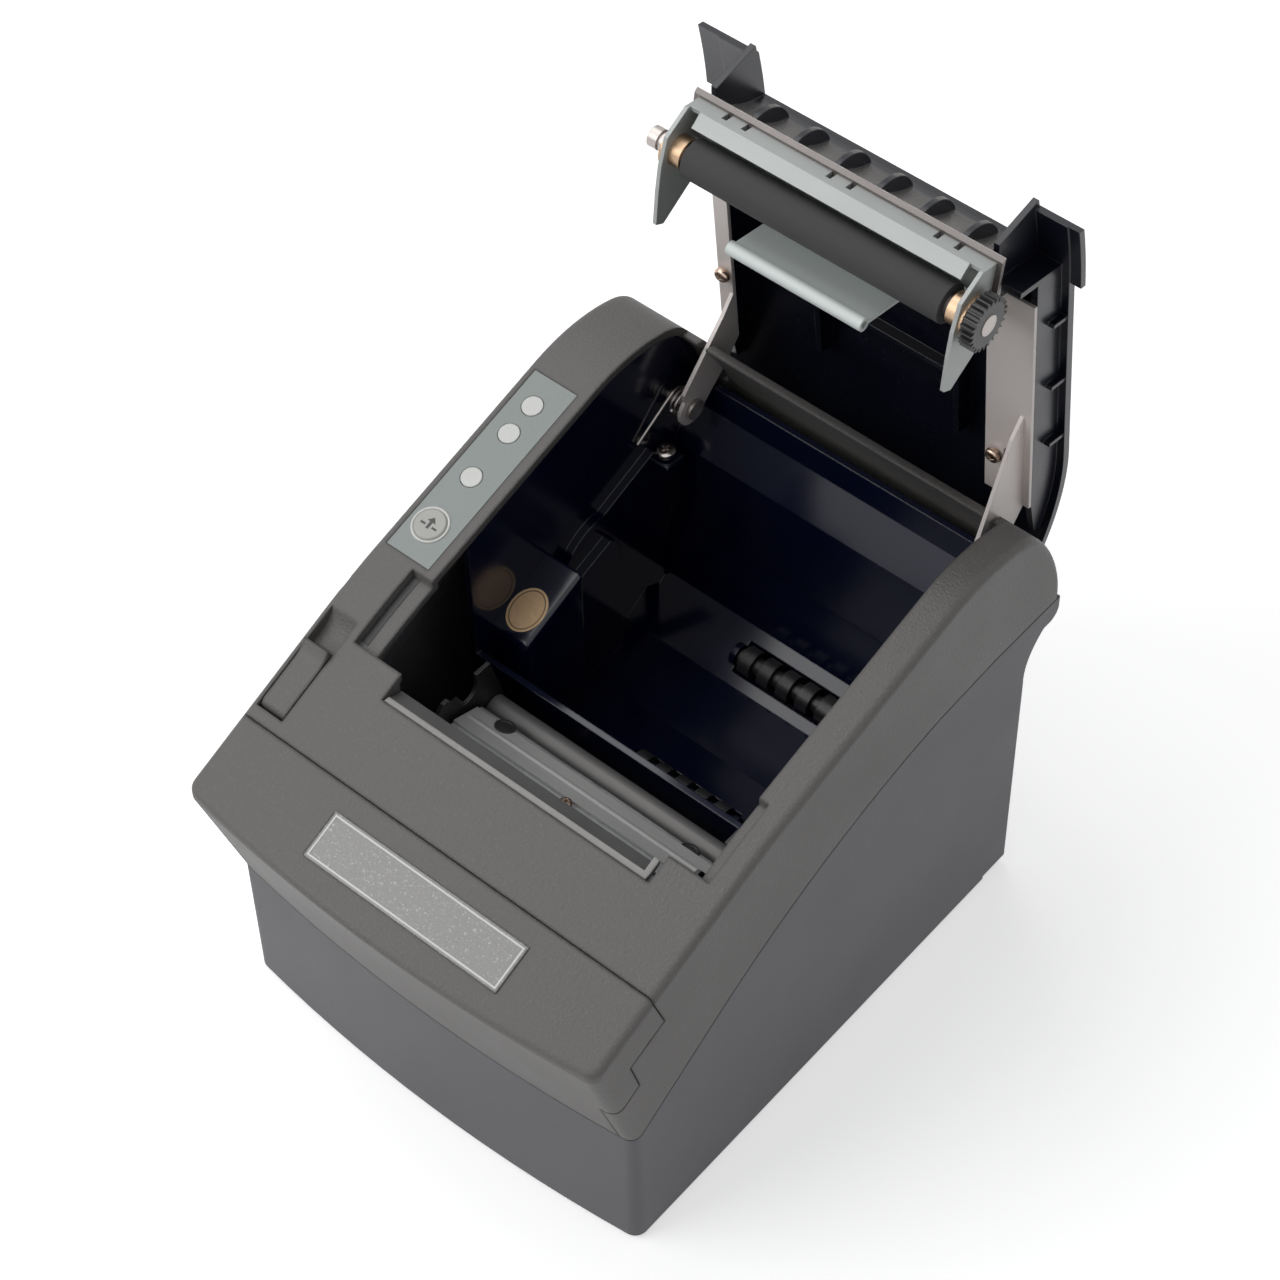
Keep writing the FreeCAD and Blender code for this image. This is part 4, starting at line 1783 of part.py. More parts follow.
def all_nodes():
    """Every piece in the open pose, still in the case's own coordinates."""
    outer = upper_outer()
    nodes = {name: opened(shape) for name, shape in lid_nodes(outer).items()}
    nodes.update(base_nodes(outer))
    nodes.update(mechanism_nodes())
    nodes.update(electronics_nodes())
    return nodes


def main():
    os.makedirs("parts", exist_ok=True)
    nodes = all_nodes()
    box = group(*nodes.values()).optimalBoundingBox(False)
    shift = Vector(0, -(box.YMin + box.YMax) / 2, 0)
    print("moved in Y by %.4f" % shift.y)
    for name, shape in nodes.items():
        print(name, shape.isValid(), len(shape.Solids))
        shape.translated(shift).exportStep("parts/" + name + ".step")


main()
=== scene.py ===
# %% [markdown]
# # A receipt printer with its lid open
# The solids of the printer come from the imported model and stay where they are. This lesson gives each of
# them a finish, adds the small pieces that a moulding shop and a screwdriver add, and sets up a plain
# studio.

# %% Load the model
import math
import bmesh
import bpy
from mathutils import Matrix, Vector


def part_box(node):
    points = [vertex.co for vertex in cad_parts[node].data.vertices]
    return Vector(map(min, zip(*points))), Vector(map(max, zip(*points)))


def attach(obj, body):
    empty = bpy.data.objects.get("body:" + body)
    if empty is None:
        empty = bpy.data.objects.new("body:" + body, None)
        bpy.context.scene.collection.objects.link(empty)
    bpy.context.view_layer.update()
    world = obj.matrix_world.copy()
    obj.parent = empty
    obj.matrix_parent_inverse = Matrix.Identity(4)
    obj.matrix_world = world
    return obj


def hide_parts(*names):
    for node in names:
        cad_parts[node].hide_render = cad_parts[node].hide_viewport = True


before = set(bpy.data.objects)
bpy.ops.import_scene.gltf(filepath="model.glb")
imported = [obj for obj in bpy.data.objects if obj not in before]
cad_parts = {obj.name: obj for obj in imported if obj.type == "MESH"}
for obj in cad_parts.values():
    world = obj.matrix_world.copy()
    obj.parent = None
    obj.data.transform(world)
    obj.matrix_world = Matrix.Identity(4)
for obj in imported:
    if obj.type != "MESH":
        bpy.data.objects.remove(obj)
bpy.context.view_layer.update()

MM = 0.001
FRONT_BOW = 5.0 * MM
front_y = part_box("lower_case")[0].y + FRONT_BOW


def at(x, y, z):
    """A point given in millimetres from the middle, the front corners of the base and the table."""
    return Vector((x * MM, front_y + y * MM, z * MM))


# %% [markdown]
# The picture was taken from the front right, looking down at about fifty degrees with a long lens. The
# camera could be placed by eye, but its angles and distance were solved once from edges of the case, so
# they are written here as plain sizes. A turn about the viewing axis levels the picture as the photograph
# is.

# %% The camera
LENS, SENSOR = 98.3, 36.0
NEAREST, FARTHEST = 0.05, 50.0
VIEW_SIDE = math.radians(41.39)
VIEW_HEIGHT = math.radians(50.8)
VIEW_ROLL = math.radians(1.39)
VIEW_PIVOT = at(0, 90, 60)
VIEW_RIGHT, VIEW_DOWN, VIEW_AWAY = 1.55 * MM, 38.2 * MM, 987.71 * MM


def aim_camera():
    back = Vector((math.sin(VIEW_SIDE) * math.cos(VIEW_HEIGHT),
                   -math.cos(VIEW_SIDE) * math.cos(VIEW_HEIGHT),
                   math.sin(VIEW_HEIGHT)))
    level = (-back).cross(Vector((0, 0, 1))).normalized()
    fall = (-back).cross(level)
    right = level * math.cos(VIEW_ROLL) + fall * math.sin(VIEW_ROLL)
    down = fall * math.cos(VIEW_ROLL) - level * math.sin(VIEW_ROLL)
    place = VIEW_PIVOT - right * VIEW_RIGHT - down * VIEW_DOWN + back * VIEW_AWAY
    turn = Matrix((right, -down, back)).transposed().to_4x4()
    data = bpy.data.cameras.new("camera")
    data.lens = LENS
    data.sensor_width = SENSOR
    data.clip_start = NEAREST
    data.clip_end = FARTHEST
    camera = bpy.data.objects.new("camera", data)
    bpy.context.scene.collection.objects.link(camera)
    camera.matrix_world = Matrix.Translation(place) @ turn
    bpy.context.scene.camera = camera
    print("camera at", [round(x, 3) for x in place])


aim_camera()

# %% [markdown]
# Materials and the sky are both made of nodes: small boxes whose outputs are joined to inputs of others.
# They could be clicked together in the shader editor. Three helpers do that here, so that the cells below
# read as a list of boxes and of the links between them.

# %% Helpers for nodes
def new_material(name):
    """A material, its node tree and its shader."""
    material = bpy.data.materials.new(name)
    material.use_nodes = True
    tree = material.node_tree
    return material, tree, tree.nodes["Principled BSDF"]


def add_node(tree, kind, values=None, **settings):
    """A node with its settings, and with plain values on some of its inputs."""
    node = tree.nodes.new(kind)
    for name, value in settings.items():
        setattr(node, name, value)
    for label, value in (values or {}).items():
        node.inputs[label].default_value = value
    return node


def link(source, target):
    """Joins an output to an input of the same tree."""
    source.id_data.links.new(source, target)


print("helpers for nodes are ready")

# %% [markdown]
# A product table is a white sheet under large soft lamps. The backdrop here is the sky itself: it shows as
# white to the camera, in mirrors and through glass, while its light on the object stays at a plain level.
# The view transform is the standard one, so that colours come out as they are written.

# %% The white sky
SKY_LIGHT, SKY_SEEN = 0.26, 1.0
SKY_TINT, WHITE = (0.97, 0.98, 1.0, 1), (1, 1, 1, 1)


def seen_ray(tree):
    """One for rays from the camera and for those that a mirror or glass sends on, nought for plain light."""
    path = add_node(tree, "ShaderNodeLightPath")
    either = add_node(tree, "ShaderNodeMath", operation="MAXIMUM")
    any_of = add_node(tree, "ShaderNodeMath", operation="MAXIMUM")
    link(path.outputs["Is Camera Ray"], either.inputs[0])
    link(path.outputs["Is Glossy Ray"], either.inputs[1])
    link(either.outputs[0], any_of.inputs[0])
    link(path.outputs["Is Transmission Ray"], any_of.inputs[1])
    return any_of.outputs[0]


def show_white_sky():
    world = bpy.data.worlds.new("studio")
    bpy.context.scene.world = world
    world.use_nodes = True
    tree = world.node_tree
    lit = tree.nodes["Background"]
    lit.inputs["Strength"].default_value = SKY_LIGHT
    lit.inputs["Color"].default_value = SKY_TINT
    seen = add_node(tree, "ShaderNodeBackground", {"Strength": SKY_SEEN, "Color": WHITE})
    mix = add_node(tree, "ShaderNodeMixShader")
    link(seen_ray(tree), mix.inputs[0])
    link(lit.outputs[0], mix.inputs[1])
    link(seen.outputs[0], mix.inputs[2])
    link(mix.outputs[0], tree.nodes["World Output"].inputs["Surface"])
    print("sky", world.name, "lights at", SKY_LIGHT)


bpy.context.scene.view_settings.view_transform = "Standard"
show_white_sky()

# %% [markdown]
# The table is a plain pale plane that keeps the shadow of the printer. More lamps would make it white, but
# they would bleach the printer too, so the plane has a glow that only the camera, mirrors and glass see. It
# lies a hair under the feet.

# %% The floor
FLOOR_SIZE, FLOOR_GAP = 6.0, 0.0002
FLOOR_GLOW = 0.55
FLOOR_PALE = (0.9, 0.9, 0.9, 1)


def lay_floor():
    bpy.ops.object.select_all(action="DESELECT")
    bpy.ops.mesh.primitive_plane_add(size=FLOOR_SIZE, location=(0, 0, -FLOOR_GAP))
    floor = bpy.context.object
    floor.name = "floor"
    material, tree, shader = new_material("white_sheet")
    shader.inputs["Base Color"].default_value = FLOOR_PALE
    shader.inputs["Roughness"].default_value = 0.9
    shader.inputs["Specular IOR Level"].default_value = 0.1
    shader.inputs["Emission Color"].default_value = WHITE
    lift = add_node(tree, "ShaderNodeMath", {1: FLOOR_GLOW}, operation="MULTIPLY")
    link(seen_ray(tree), lift.inputs[0])
    link(lift.outputs[0], shader.inputs["Emission Strength"])
    floor.data.materials.append(material)
    print("floor is", FLOOR_SIZE, "m wide")


lay_floor()

# %% [markdown]
# Three soft boxes light the table: a large one from the front left, one above, and a weak one from the
# right that keeps the side wall from going black. Small lamps would give hard shadows, which a product
# picture avoids.

# %% The lamps
LAMP_TARGET = at(0, 90, 90)
LAMPS = (("key_box", at(-560, -640, 820), (0.9, 0.9), 5.7),
         ("top_box", at(-430, 250, 1060), (0.8, 0.8), 3.7),
         ("side_box", at(940, 420, 520), (0.6, 0.8), 0.5))


def hang_lamp(name, place, size, watts):
    data = bpy.data.lights.new(name, "AREA")
    data.shape = "RECTANGLE"
    data.size, data.size_y = size
    data.energy = watts
    lamp = bpy.data.objects.new(name, data)
    bpy.context.scene.collection.objects.link(lamp)
    turn = (LAMP_TARGET - place).to_track_quat("-Z", "Y").to_matrix().to_4x4()
    lamp.matrix_world = Matrix.Translation(place) @ turn
    print(name, "gives", watts, "W")


for lamp_row in LAMPS:
    hang_lamp(*lamp_row)

# %% [markdown]
# Four effects come back in many finishes. Each could be built again in every material, but as a node group
# it is built once and placed with its own values. The first is the grain: the tool of a moulding is spark
# eroded, which leaves a fine pebble in the plastic and a few flecks that catch the light.

# %% Grain of a moulding
FLOAT, VECTOR = "NodeSocketFloat", "NodeSocketVector"


def start_effect(name, inputs, outputs):
    """An empty group with its inputs and outputs."""
    group = bpy.data.node_groups.new(name, "ShaderNodeTree")
    for label, (kind, value) in inputs.items():
        socket = group.interface.new_socket(label, in_out="INPUT", socket_type=kind)
        socket.default_value = value
    for label, kind in outputs.items():
        group.interface.new_socket(label, in_out="OUTPUT", socket_type=kind)
    return group, add_node(group, "NodeGroupInput"), add_node(group, "NodeGroupOutput")


def grain_effect():
    """Pebbled height and sparse bright flecks."""
    group, start, end = start_effect("moulded grain", {"Cells": (FLOAT, 1500.0)},
                                     {"Height": FLOAT, "Fleck": FLOAT})
    place = add_node(group, "ShaderNodeTexCoord")
    cells = add_node(group, "ShaderNodeTexVoronoi", feature="SMOOTH_F1")
    rough = add_node(group, "ShaderNodeTexNoise", {"Detail": 3.0})
    total = add_node(group, "ShaderNodeMath", operation="ADD")
    flecks = add_node(group, "ShaderNodeMapRange", {"From Min": 0.58, "From Max": 0.75})
    for texture in (cells, rough):
        link(place.outputs["Object"], texture.inputs["Vector"])
        link(start.outputs["Cells"], texture.inputs["Scale"])
    link(cells.outputs["Distance"], total.inputs[0])
    link(rough.outputs["Fac"], total.inputs[1])
    link(rough.outputs["Fac"], flecks.inputs["Value"])
    link(total.outputs[0], end.inputs["Height"])
    link(flecks.outputs["Result"], end.inputs["Fleck"])
    return group


GRAIN = grain_effect()
print("effect:", GRAIN.name)

# %% [markdown]
# Real edges are never quite sharp, and they wear or gather dirt before the flat faces do. A bevel on every
# solid would cost many faces, so the second effect asks the renderer for a rounded normal. Where that
# differs from the true one there is an edge, and a noise breaks the mask up. On the case the edge tone
# that this mask carries is painted shade instead of wear.

# %% Wear and painted shade along edges
def wear_and_shade_effect():
    """Rounded normal and a broken mask along edges."""
    group, start, end = start_effect("edge wear and shade", {"Radius": (FLOAT, 0.0005)},
                                     {"Mask": FLOAT, "Normal": VECTOR})
    rounded = add_node(group, "ShaderNodeBevel", samples=4)
    true = add_node(group, "ShaderNodeNewGeometry")
    alike = add_node(group, "ShaderNodeVectorMath", operation="DOT_PRODUCT")
    spread = add_node(group, "ShaderNodeMapRange", {"From Min": 0.985, "From Max": 0.75})
    place = add_node(group, "ShaderNodeTexCoord")
    patchy = add_node(group, "ShaderNodeTexNoise", {"Scale": 260.0, "Detail": 4.0})
    broken = add_node(group, "ShaderNodeMath", operation="MULTIPLY")
    link(start.outputs["Radius"], rounded.inputs["Radius"])
    link(rounded.outputs["Normal"], alike.inputs[0])
    link(true.outputs["Normal"], alike.inputs[1])
    link(alike.outputs["Value"], spread.inputs["Value"])
    link(place.outputs["Object"], patchy.inputs["Vector"])
    link(spread.outputs["Result"], broken.inputs[0])
    link(patchy.outputs["Fac"], broken.inputs[1])
    link(broken.outputs[0], end.inputs["Mask"])
    link(rounded.outputs["Normal"], end.inputs["Normal"])
    return group


WEAR_AND_SHADE = wear_and_shade_effect()
print("effect:", WEAR_AND_SHADE.name)

# %% [markdown]
# A rolling mill, a grinding belt and a lathe all leave fine lines in metal. They could be drawn one by one.
# A noise that is squeezed in two directions and left long in the third gives the same look from one
# texture.

# %% Streaks of rolled and ground metal
def streak_effect():
    """Fine lines, long in the direction whose stretch is small."""
    group, start, end = start_effect("rolled streaks", {"Stretch": (VECTOR, (30, 1500, 1500))},
                                     {"Streak": FLOAT})
    place = add_node(group, "ShaderNodeTexCoord")
    longer = add_node(group, "ShaderNodeVectorMath", operation="MULTIPLY")
    lines = add_node(group, "ShaderNodeTexNoise", {"Scale": 1.0, "Detail": 5.0})
    link(place.outputs["Object"], longer.inputs[0])
    link(start.outputs["Stretch"], longer.inputs[1])
    link(longer.outputs["Vector"], lines.inputs["Vector"])
    link(lines.outputs["Fac"], end.inputs["Streak"])
    return group


STREAK = streak_effect()
print("effect:", STREAK.name)

# %% [markdown]
# Hands, cooling and cleaning leave a slow drift of colour and gloss on any surface. A broad noise, widened
# so that it reaches from nought to one, is enough for it.

# %% Cloud of handling
def cloud_effect():
    """Slow drift between nought and one."""
    group, start, end = start_effect("handling cloud", {"Size": (FLOAT, 30.0)}, {"Cloud": FLOAT})
    place = add_node(group, "ShaderNodeTexCoord")
    drift = add_node(group, "ShaderNodeTexNoise", {"Detail": 6.0, "Roughness": 0.6})
    wide = add_node(group, "ShaderNodeMapRange", {"From Min": 0.3, "From Max": 0.7})
    link(place.outputs["Object"], drift.inputs["Vector"])
    link(start.outputs["Size"], drift.inputs["Scale"])
    link(drift.outputs["Fac"], wide.inputs["Value"])
    link(wide.outputs["Result"], end.inputs["Cloud"])
    return group


CLOUD = cloud_effect()
print("effect:", CLOUD.name)

# %% [markdown]
# Most finishes are the same recipe with other values: a colour that drifts between two tones, a gloss that
# drifts with it, a fine relief, and edges that are rounded and have a tone of their own. One function makes
# them all, and the lid and the circuit boards, which need more, add their own nodes to its result.

# %% Steps of the recipe
def use_effect(tree, group, **values):
    return add_node(tree, "ShaderNodeGroup", values, node_tree=group)


def blend_colours(tree, mask, first, second):
    """Colour that goes from first to second with the mask; either may be a socket or plain numbers."""
    mix = add_node(tree, "ShaderNodeMix", data_type="RGBA")
    link(mask, mix.inputs["Factor"])
    for socket, colour in ((mix.inputs[6], first), (mix.inputs[7], second)):
        if isinstance(colour, bpy.types.NodeSocket):
            link(colour, socket)
        else:
            socket.default_value = (*colour, 1)
    return mix.outputs[2]


def spread_value(tree, source, low, high):
    """Value that runs from low to high while the source runs from nought to one."""
    spread = add_node(tree, "ShaderNodeMapRange", {"To Min": low, "To Max": high})
    link(source, spread.inputs["Value"])
    return spread.outputs["Result"]


def raise_surface(tree, shader, height, depth, normal):
    bump = add_node(tree, "ShaderNodeBump", {"Strength": 1.0, "Distance": depth})
    link(height, bump.inputs["Height"])
    if normal is not None:
        link(normal, bump.inputs["Normal"])
    link(bump.outputs["Normal"], shader.inputs["Normal"])


print("steps: colour, gloss and relief")

# %% [markdown]
# The recipe puts the steps together. Numbers that are the same all over a surface go straight on the
# shader's own sockets, and only what changes over the surface comes through nodes.

# %% The recipe for a finish
FAINT_RELIEF = 0.00001


def make_finish(name, dark, light, gloss, metal=0.0, cloud=30.0, grain=None, streak=None, edge=None,
                specular=0.5):
    """Finish from two tones, a roughness range and the optional grain, streaks and edge tone."""
    material, tree, shader = new_material(name)
    shader.inputs["Metallic"].default_value = metal
    shader.inputs["Specular IOR Level"].default_value = specular
    drift = use_effect(tree, CLOUD, Size=cloud).outputs["Cloud"]
    colour = blend_colours(tree, drift, dark, light)
    rough = spread_value(tree, drift, *gloss)
    normal = None
    height = drift
    depth = FAINT_RELIEF
    if grain:
        cells, depth, fleck_colour = grain
        pebbles = use_effect(tree, GRAIN, Cells=cells)
        height = pebbles.outputs["Height"]
        colour = blend_colours(tree, pebbles.outputs["Fleck"], colour, fleck_colour)
    if streak:
        stretch, depth, shade = streak
        height = use_effect(tree, STREAK, Stretch=stretch).outputs["Streak"]
        colour = blend_colours(tree, height, colour, shade)
        rough = spread_value(tree, height, *gloss)
    # The edge tone is wear on most finishes and painted shade on the case.
    if edge:
        radius, tone = edge
        wear_and_shade = use_effect(tree, WEAR_AND_SHADE, Radius=radius)
        normal = wear_and_shade.outputs["Normal"]
        colour = blend_colours(tree, wear_and_shade.outputs["Mask"], colour, tone)
    link(colour, shader.inputs["Base Color"])
    link(rough, shader.inputs["Roughness"])
    raise_surface(tree, shader, height, depth, normal)
    return material


def dress(material, *names):
    """Gives the finish to CAD nodes."""
    for name in names:
        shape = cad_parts[name]
        shape.data.materials.clear()
        shape.data.materials.append(material)
        dressed.add(name)
    print(material.name, "on", ", ".join(names))


def coat(names, *recipe, **extras):
    """Makes a finish and gives it to the CAD nodes whose names are in one string."""
    material = make_finish(*recipe, **extras)
    dress(material, *names.split())
    return material


dressed = set()
print(len(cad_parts), "nodes wait for a finish")

# %% [markdown]
# The case is dark grey moulded plastic. Its tool was spark eroded, so the skin is a fine pebble that breaks
# up reflections, warm on the deck and a little bluer on the base. A plain grey would do from afar, but the
# pebble shows in every highlight. The edges are darker: along the rounded edges this is painted shade for
# the dark reflection there, and where two mouldings meet it is the dark joint.

# %% Case plastics
PEBBLES, PEBBLE_DEPTH = 1500.0, 0.00012
# The dark edge tones of these two finishes are painted shade along rounded edges and dark joints where
# mouldings meet.
coat("upper_case front_cover release_lever", "deck_charcoal", (0.104, 0.099, 0.095),
     (0.122, 0.117, 0.113), (0.46, 0.58), cloud=22.0,
     grain=(PEBBLES, PEBBLE_DEPTH, (0.145, 0.141, 0.137)), edge=(0.0016, (0.022, 0.022, 0.023)))
coat("lower_case", "base_slate", (0.106, 0.106, 0.115), (0.12, 0.12, 0.13), (0.5, 0.62), cloud=18.0,
     grain=(PEBBLES * 1.2, 0.00008, (0.135, 0.136, 0.147)), edge=(0.0014, (0.03, 0.03, 0.033)))

# %% [markdown]
# The lid has the same pebbled skin outside, but its inside was polished in the tool and is nearly black. It
# could be split in two pieces. Here the two sides are told apart by the direction that the surface faces in
# the lid's own coordinates, which turn with the lid, so the finish stays right at every opening angle.

# %% Lid
OUTSIDE_STARTS, OUTSIDE_FULL = 0.30, 0.36
LID_SKIN, LID_FLECK, LID_ROUGH = (0.112, 0.107, 0.103), (0.145, 0.141, 0.137), 0.52


def lid_finish():
    material = make_finish("lid_two_sided", (0.003, 0.004, 0.009), (0.005, 0.006, 0.013), (0.22, 0.34),
                           cloud=26.0, edge=(0.0004, (0.05, 0.05, 0.055)))
    tree = material.node_tree
    shader = tree.nodes["Principled BSDF"]
    inside_colour = shader.inputs["Base Color"].links[0].from_socket
    inside_rough = shader.inputs["Roughness"].links[0].from_socket
    bump = shader.inputs["Normal"].links[0].from_node
    facing = add_node(tree, "ShaderNodeSeparateXYZ")
    link(add_node(tree, "ShaderNodeTexCoord").outputs["Normal"], facing.inputs[0])
    outside = add_node(tree, "ShaderNodeMapRange", {"From Min": OUTSIDE_STARTS, "From Max": OUTSIDE_FULL})
    link(facing.outputs["Y"], outside.inputs["Value"])
    mask = outside.outputs["Result"]
    pebbles = use_effect(tree, GRAIN, Cells=PEBBLES)
    skin = blend_colours(tree, pebbles.outputs["Fleck"], LID_SKIN, LID_FLECK)
    link(blend_colours(tree, mask, inside_colour, skin), shader.inputs["Base Color"])
    rough = add_node(tree, "ShaderNodeMix", {3: LID_ROUGH}, data_type="FLOAT")
    link(mask, rough.inputs["Factor"])
    link(inside_rough, rough.inputs[2])
    link(rough.outputs[0], shader.inputs["Roughness"])
    height = add_node(tree, "ShaderNodeMath", operation="MULTIPLY")
    link(mask, height.inputs[0])
    link(pebbles.outputs["Height"], height.inputs[1])
    bump.inputs["Distance"].default_value = PEBBLE_DEPTH
    link(height.outputs[0], bump.inputs["Height"])
    return material


dress(lid_finish(), "lid_shell")

# %% [markdown]
# The paper bin is polished black plastic with a blue cast, so it shows soft reflections of whatever stands
# over it. Small black mouldings, gears and rollers are the same sort of plastic with less polish, and the
# platen and the feet are dull ground rubber. One black for all of them would hide where one piece ends and
# the next begins.

# %% Bin, black mouldings and rubber
bin_gloss = coat("paper_bin", "bin_gloss", (0.002, 0.0036, 0.017), (0.004, 0.0068, 0.028), (0.1, 0.18),
                 cloud=14.0, edge=(0.0006, (0.02, 0.022, 0.03)))
black_moulding = coat("front_roller rear_roller lid_switch paper_sensor power_switch power_rocker",
                      "black_moulding", (0.012, 0.012, 0.013), (0.021, 0.021, 0.023), (0.34, 0.5),
                      cloud=60.0, grain=(2600.0, 0.00004, (0.035, 0.035, 0.037)),
                      edge=(0.0003, (0.06, 0.06, 0.062)))
coat("platen_gear feed_idler feed_reduction feed_pinion cutter_gear cutter_pinion blade_carrier",
     "gear_resin", (0.022, 0.021, 0.021), (0.036, 0.035, 0.035), (0.32, 0.46), cloud=90.0,
     edge=(0.00015, (0.09, 0.088, 0.088)))
coat("platen_rubber rubber_feet", "ground_rubber", (0.048, 0.048, 0.05), (0.062, 0.061, 0.063),
     (0.62, 0.78), cloud=40.0, grain=(4200.0, 0.00005, (0.08, 0.08, 0.082)), specular=0.3)

# %% [markdown]
# Sheet steel keeps the lines of the rolling mill. The lid arms are nickel plated and pinkish, the bracket
# is zinc plated, and the paper guide is a greenish zinc whose pale tone is partly a painted reflection of
# the white room. Plating that is this dull scatters light almost like paint, so these sheets have a low
# metallic value: as full metal they would mirror the white room.

# %% Plated sheets
ALONG_X = (25.0, 1600.0, 1600.0)
ALONG_Z = (1600.0, 1600.0, 40.0)
ROUND_X = (2600.0, 60.0, 60.0)
SHEET_LINES = 0.000006
coat("lid_arm_left lid_arm_right", "nickel_sheet", (0.70, 0.64, 0.615), (0.80, 0.735, 0.705),
     (0.34, 0.46), metal=0.08, streak=(ALONG_Z, SHEET_LINES, (0.75, 0.69, 0.66)),
     edge=(0.0003, (0.78, 0.74, 0.72)))
coat("platen_bracket connector_plate head_spring", "zinc_sheet", (0.36, 0.38, 0.37), (0.44, 0.46, 0.45),
     (0.46, 0.58), metal=0.35, streak=(ALONG_X, SHEET_LINES, (0.40, 0.42, 0.41)),
     edge=(0.0003, (0.62, 0.64, 0.62)))
# The guide plate's pale tone is partly its zinc and partly a painted reflection of the white room.
coat("paper_guide_plate", "zinc_with_painted_reflection", (0.64, 0.70, 0.68), (0.74, 0.79, 0.77), (0.4, 0.52), metal=0.06,
     streak=(ALONG_X, SHEET_LINES, (0.69, 0.74, 0.72)), edge=(0.0003, (0.86, 0.88, 0.87)))
coat("mechanism_frame cutter_housing", "blackened_sheet", (0.03, 0.03, 0.031), (0.05, 0.05, 0.051),
     (0.35, 0.5), metal=0.6, streak=(ALONG_X, SHEET_LINES, (0.04, 0.04, 0.041)),
     edge=(0.0003, (0.2, 0.2, 0.2)))

# %% [markdown]
# The other metals are worked to their shape. Blades are ground across their edge, shafts and pins are
# turned and have fine rings, bushings are pressed from bronze powder, and the heat sink is cast. Each gets
# the lines or the grain that its tool leaves, because that is what tells one grey metal from another.

# %% Rods, blades, shafts and castings
TURNED_LINES = 0.000004
coat("paper_guide_bar", "satin_rod", (0.115, 0.112, 0.11), (0.16, 0.156, 0.153), (0.42, 0.55), metal=0.3,
     streak=(ROUND_X, TURNED_LINES, (0.14, 0.136, 0.133)), edge=(0.0003, (0.3, 0.3, 0.3)))
coat("fixed_blade moving_blade", "ground_blade", (0.15, 0.135, 0.13), (0.21, 0.19, 0.185), (0.34, 0.46),
     metal=0.5, streak=((1800.0, 60.0, 60.0), SHEET_LINES, (0.18, 0.16, 0.155)),
     edge=(0.0003, (0.86, 0.82, 0.79)))
coat("platen_shaft hinge_pins head_pivot_pin lever_pin gear_posts lid_spring", "turned_steel",
     (0.40, 0.365, 0.345), (0.5, 0.46, 0.44), (0.26, 0.38), metal=0.85,
     streak=(ROUND_X, TURNED_LINES, (0.45, 0.41, 0.39)), edge=(0.0003, (0.66, 0.62, 0.6)))
coat("platen_bushings", "sintered_bronze", (0.40, 0.27, 0.17), (0.55, 0.39, 0.26), (0.3, 0.42), metal=1.0,
     grain=(3600.0, 0.00003, (0.65, 0.48, 0.34)), edge=(0.0003, (0.75, 0.56, 0.42)))
coat("feed_motor cutter_motor", "motor_can", (0.42, 0.43, 0.43), (0.52, 0.53, 0.53), (0.26, 0.4),
     metal=1.0, streak=(ROUND_X, 0.000005, (0.48, 0.49, 0.49)), edge=(0.0004, (0.7, 0.7, 0.7)))
coat("head_heatsink", "cast_alloy", (0.36, 0.37, 0.38), (0.48, 0.49, 0.5), (0.38, 0.55), metal=0.9,
     grain=(2400.0, 0.00005, (0.55, 0.56, 0.57)), edge=(0.0004, (0.66, 0.66, 0.67)))

# %% [markdown]
# The print head is a glazed ceramic bar with faint lines along it. Circuit boards are green solder mask
# over copper, which shows as slightly raised lighter tracks: a brick pattern gives such a grid without
# drawing a circuit. The head's ribbon is a pale film over flat wires, and the sockets are black resin or
# bright sheet.

# %% Head, boards and sockets
TRACKS_PER_METRE, TRACK_WIDTH, TRACK_HEIGHT = 160.0, 0.12, 0.00004
TRACK_GREEN = (0.03, 0.2, 0.09)
coat("thermal_head", "head_glaze", (0.34, 0.34, 0.335), (0.42, 0.42, 0.412), (0.2, 0.32), cloud=50.0,
     streak=(ALONG_X, TURNED_LINES, (0.38, 0.38, 0.373)), edge=(0.0003, (0.5, 0.5, 0.5)))


def board_finish():
    material = make_finish("solder_mask", (0.012, 0.085, 0.04), (0.018, 0.11, 0.052), (0.25, 0.4), cloud=70.0)
    tree = material.node_tree
    shader = tree.nodes["Principled BSDF"]
    plain = shader.inputs["Base Color"].links[0].from_socket
    bump = shader.inputs["Normal"].links[0].from_node
    tracks = add_node(tree, "ShaderNodeTexBrick", {"Scale": TRACKS_PER_METRE, "Mortar Size": TRACK_WIDTH})
    link(add_node(tree, "ShaderNodeTexCoord").outputs["Object"], tracks.inputs["Vector"])
    link(blend_colours(tree, tracks.outputs["Fac"], plain, TRACK_GREEN), shader.inputs["Base Color"])
    bump.inputs["Distance"].default_value = TRACK_HEIGHT
    link(tracks.outputs["Fac"], bump.inputs["Height"])
    return material


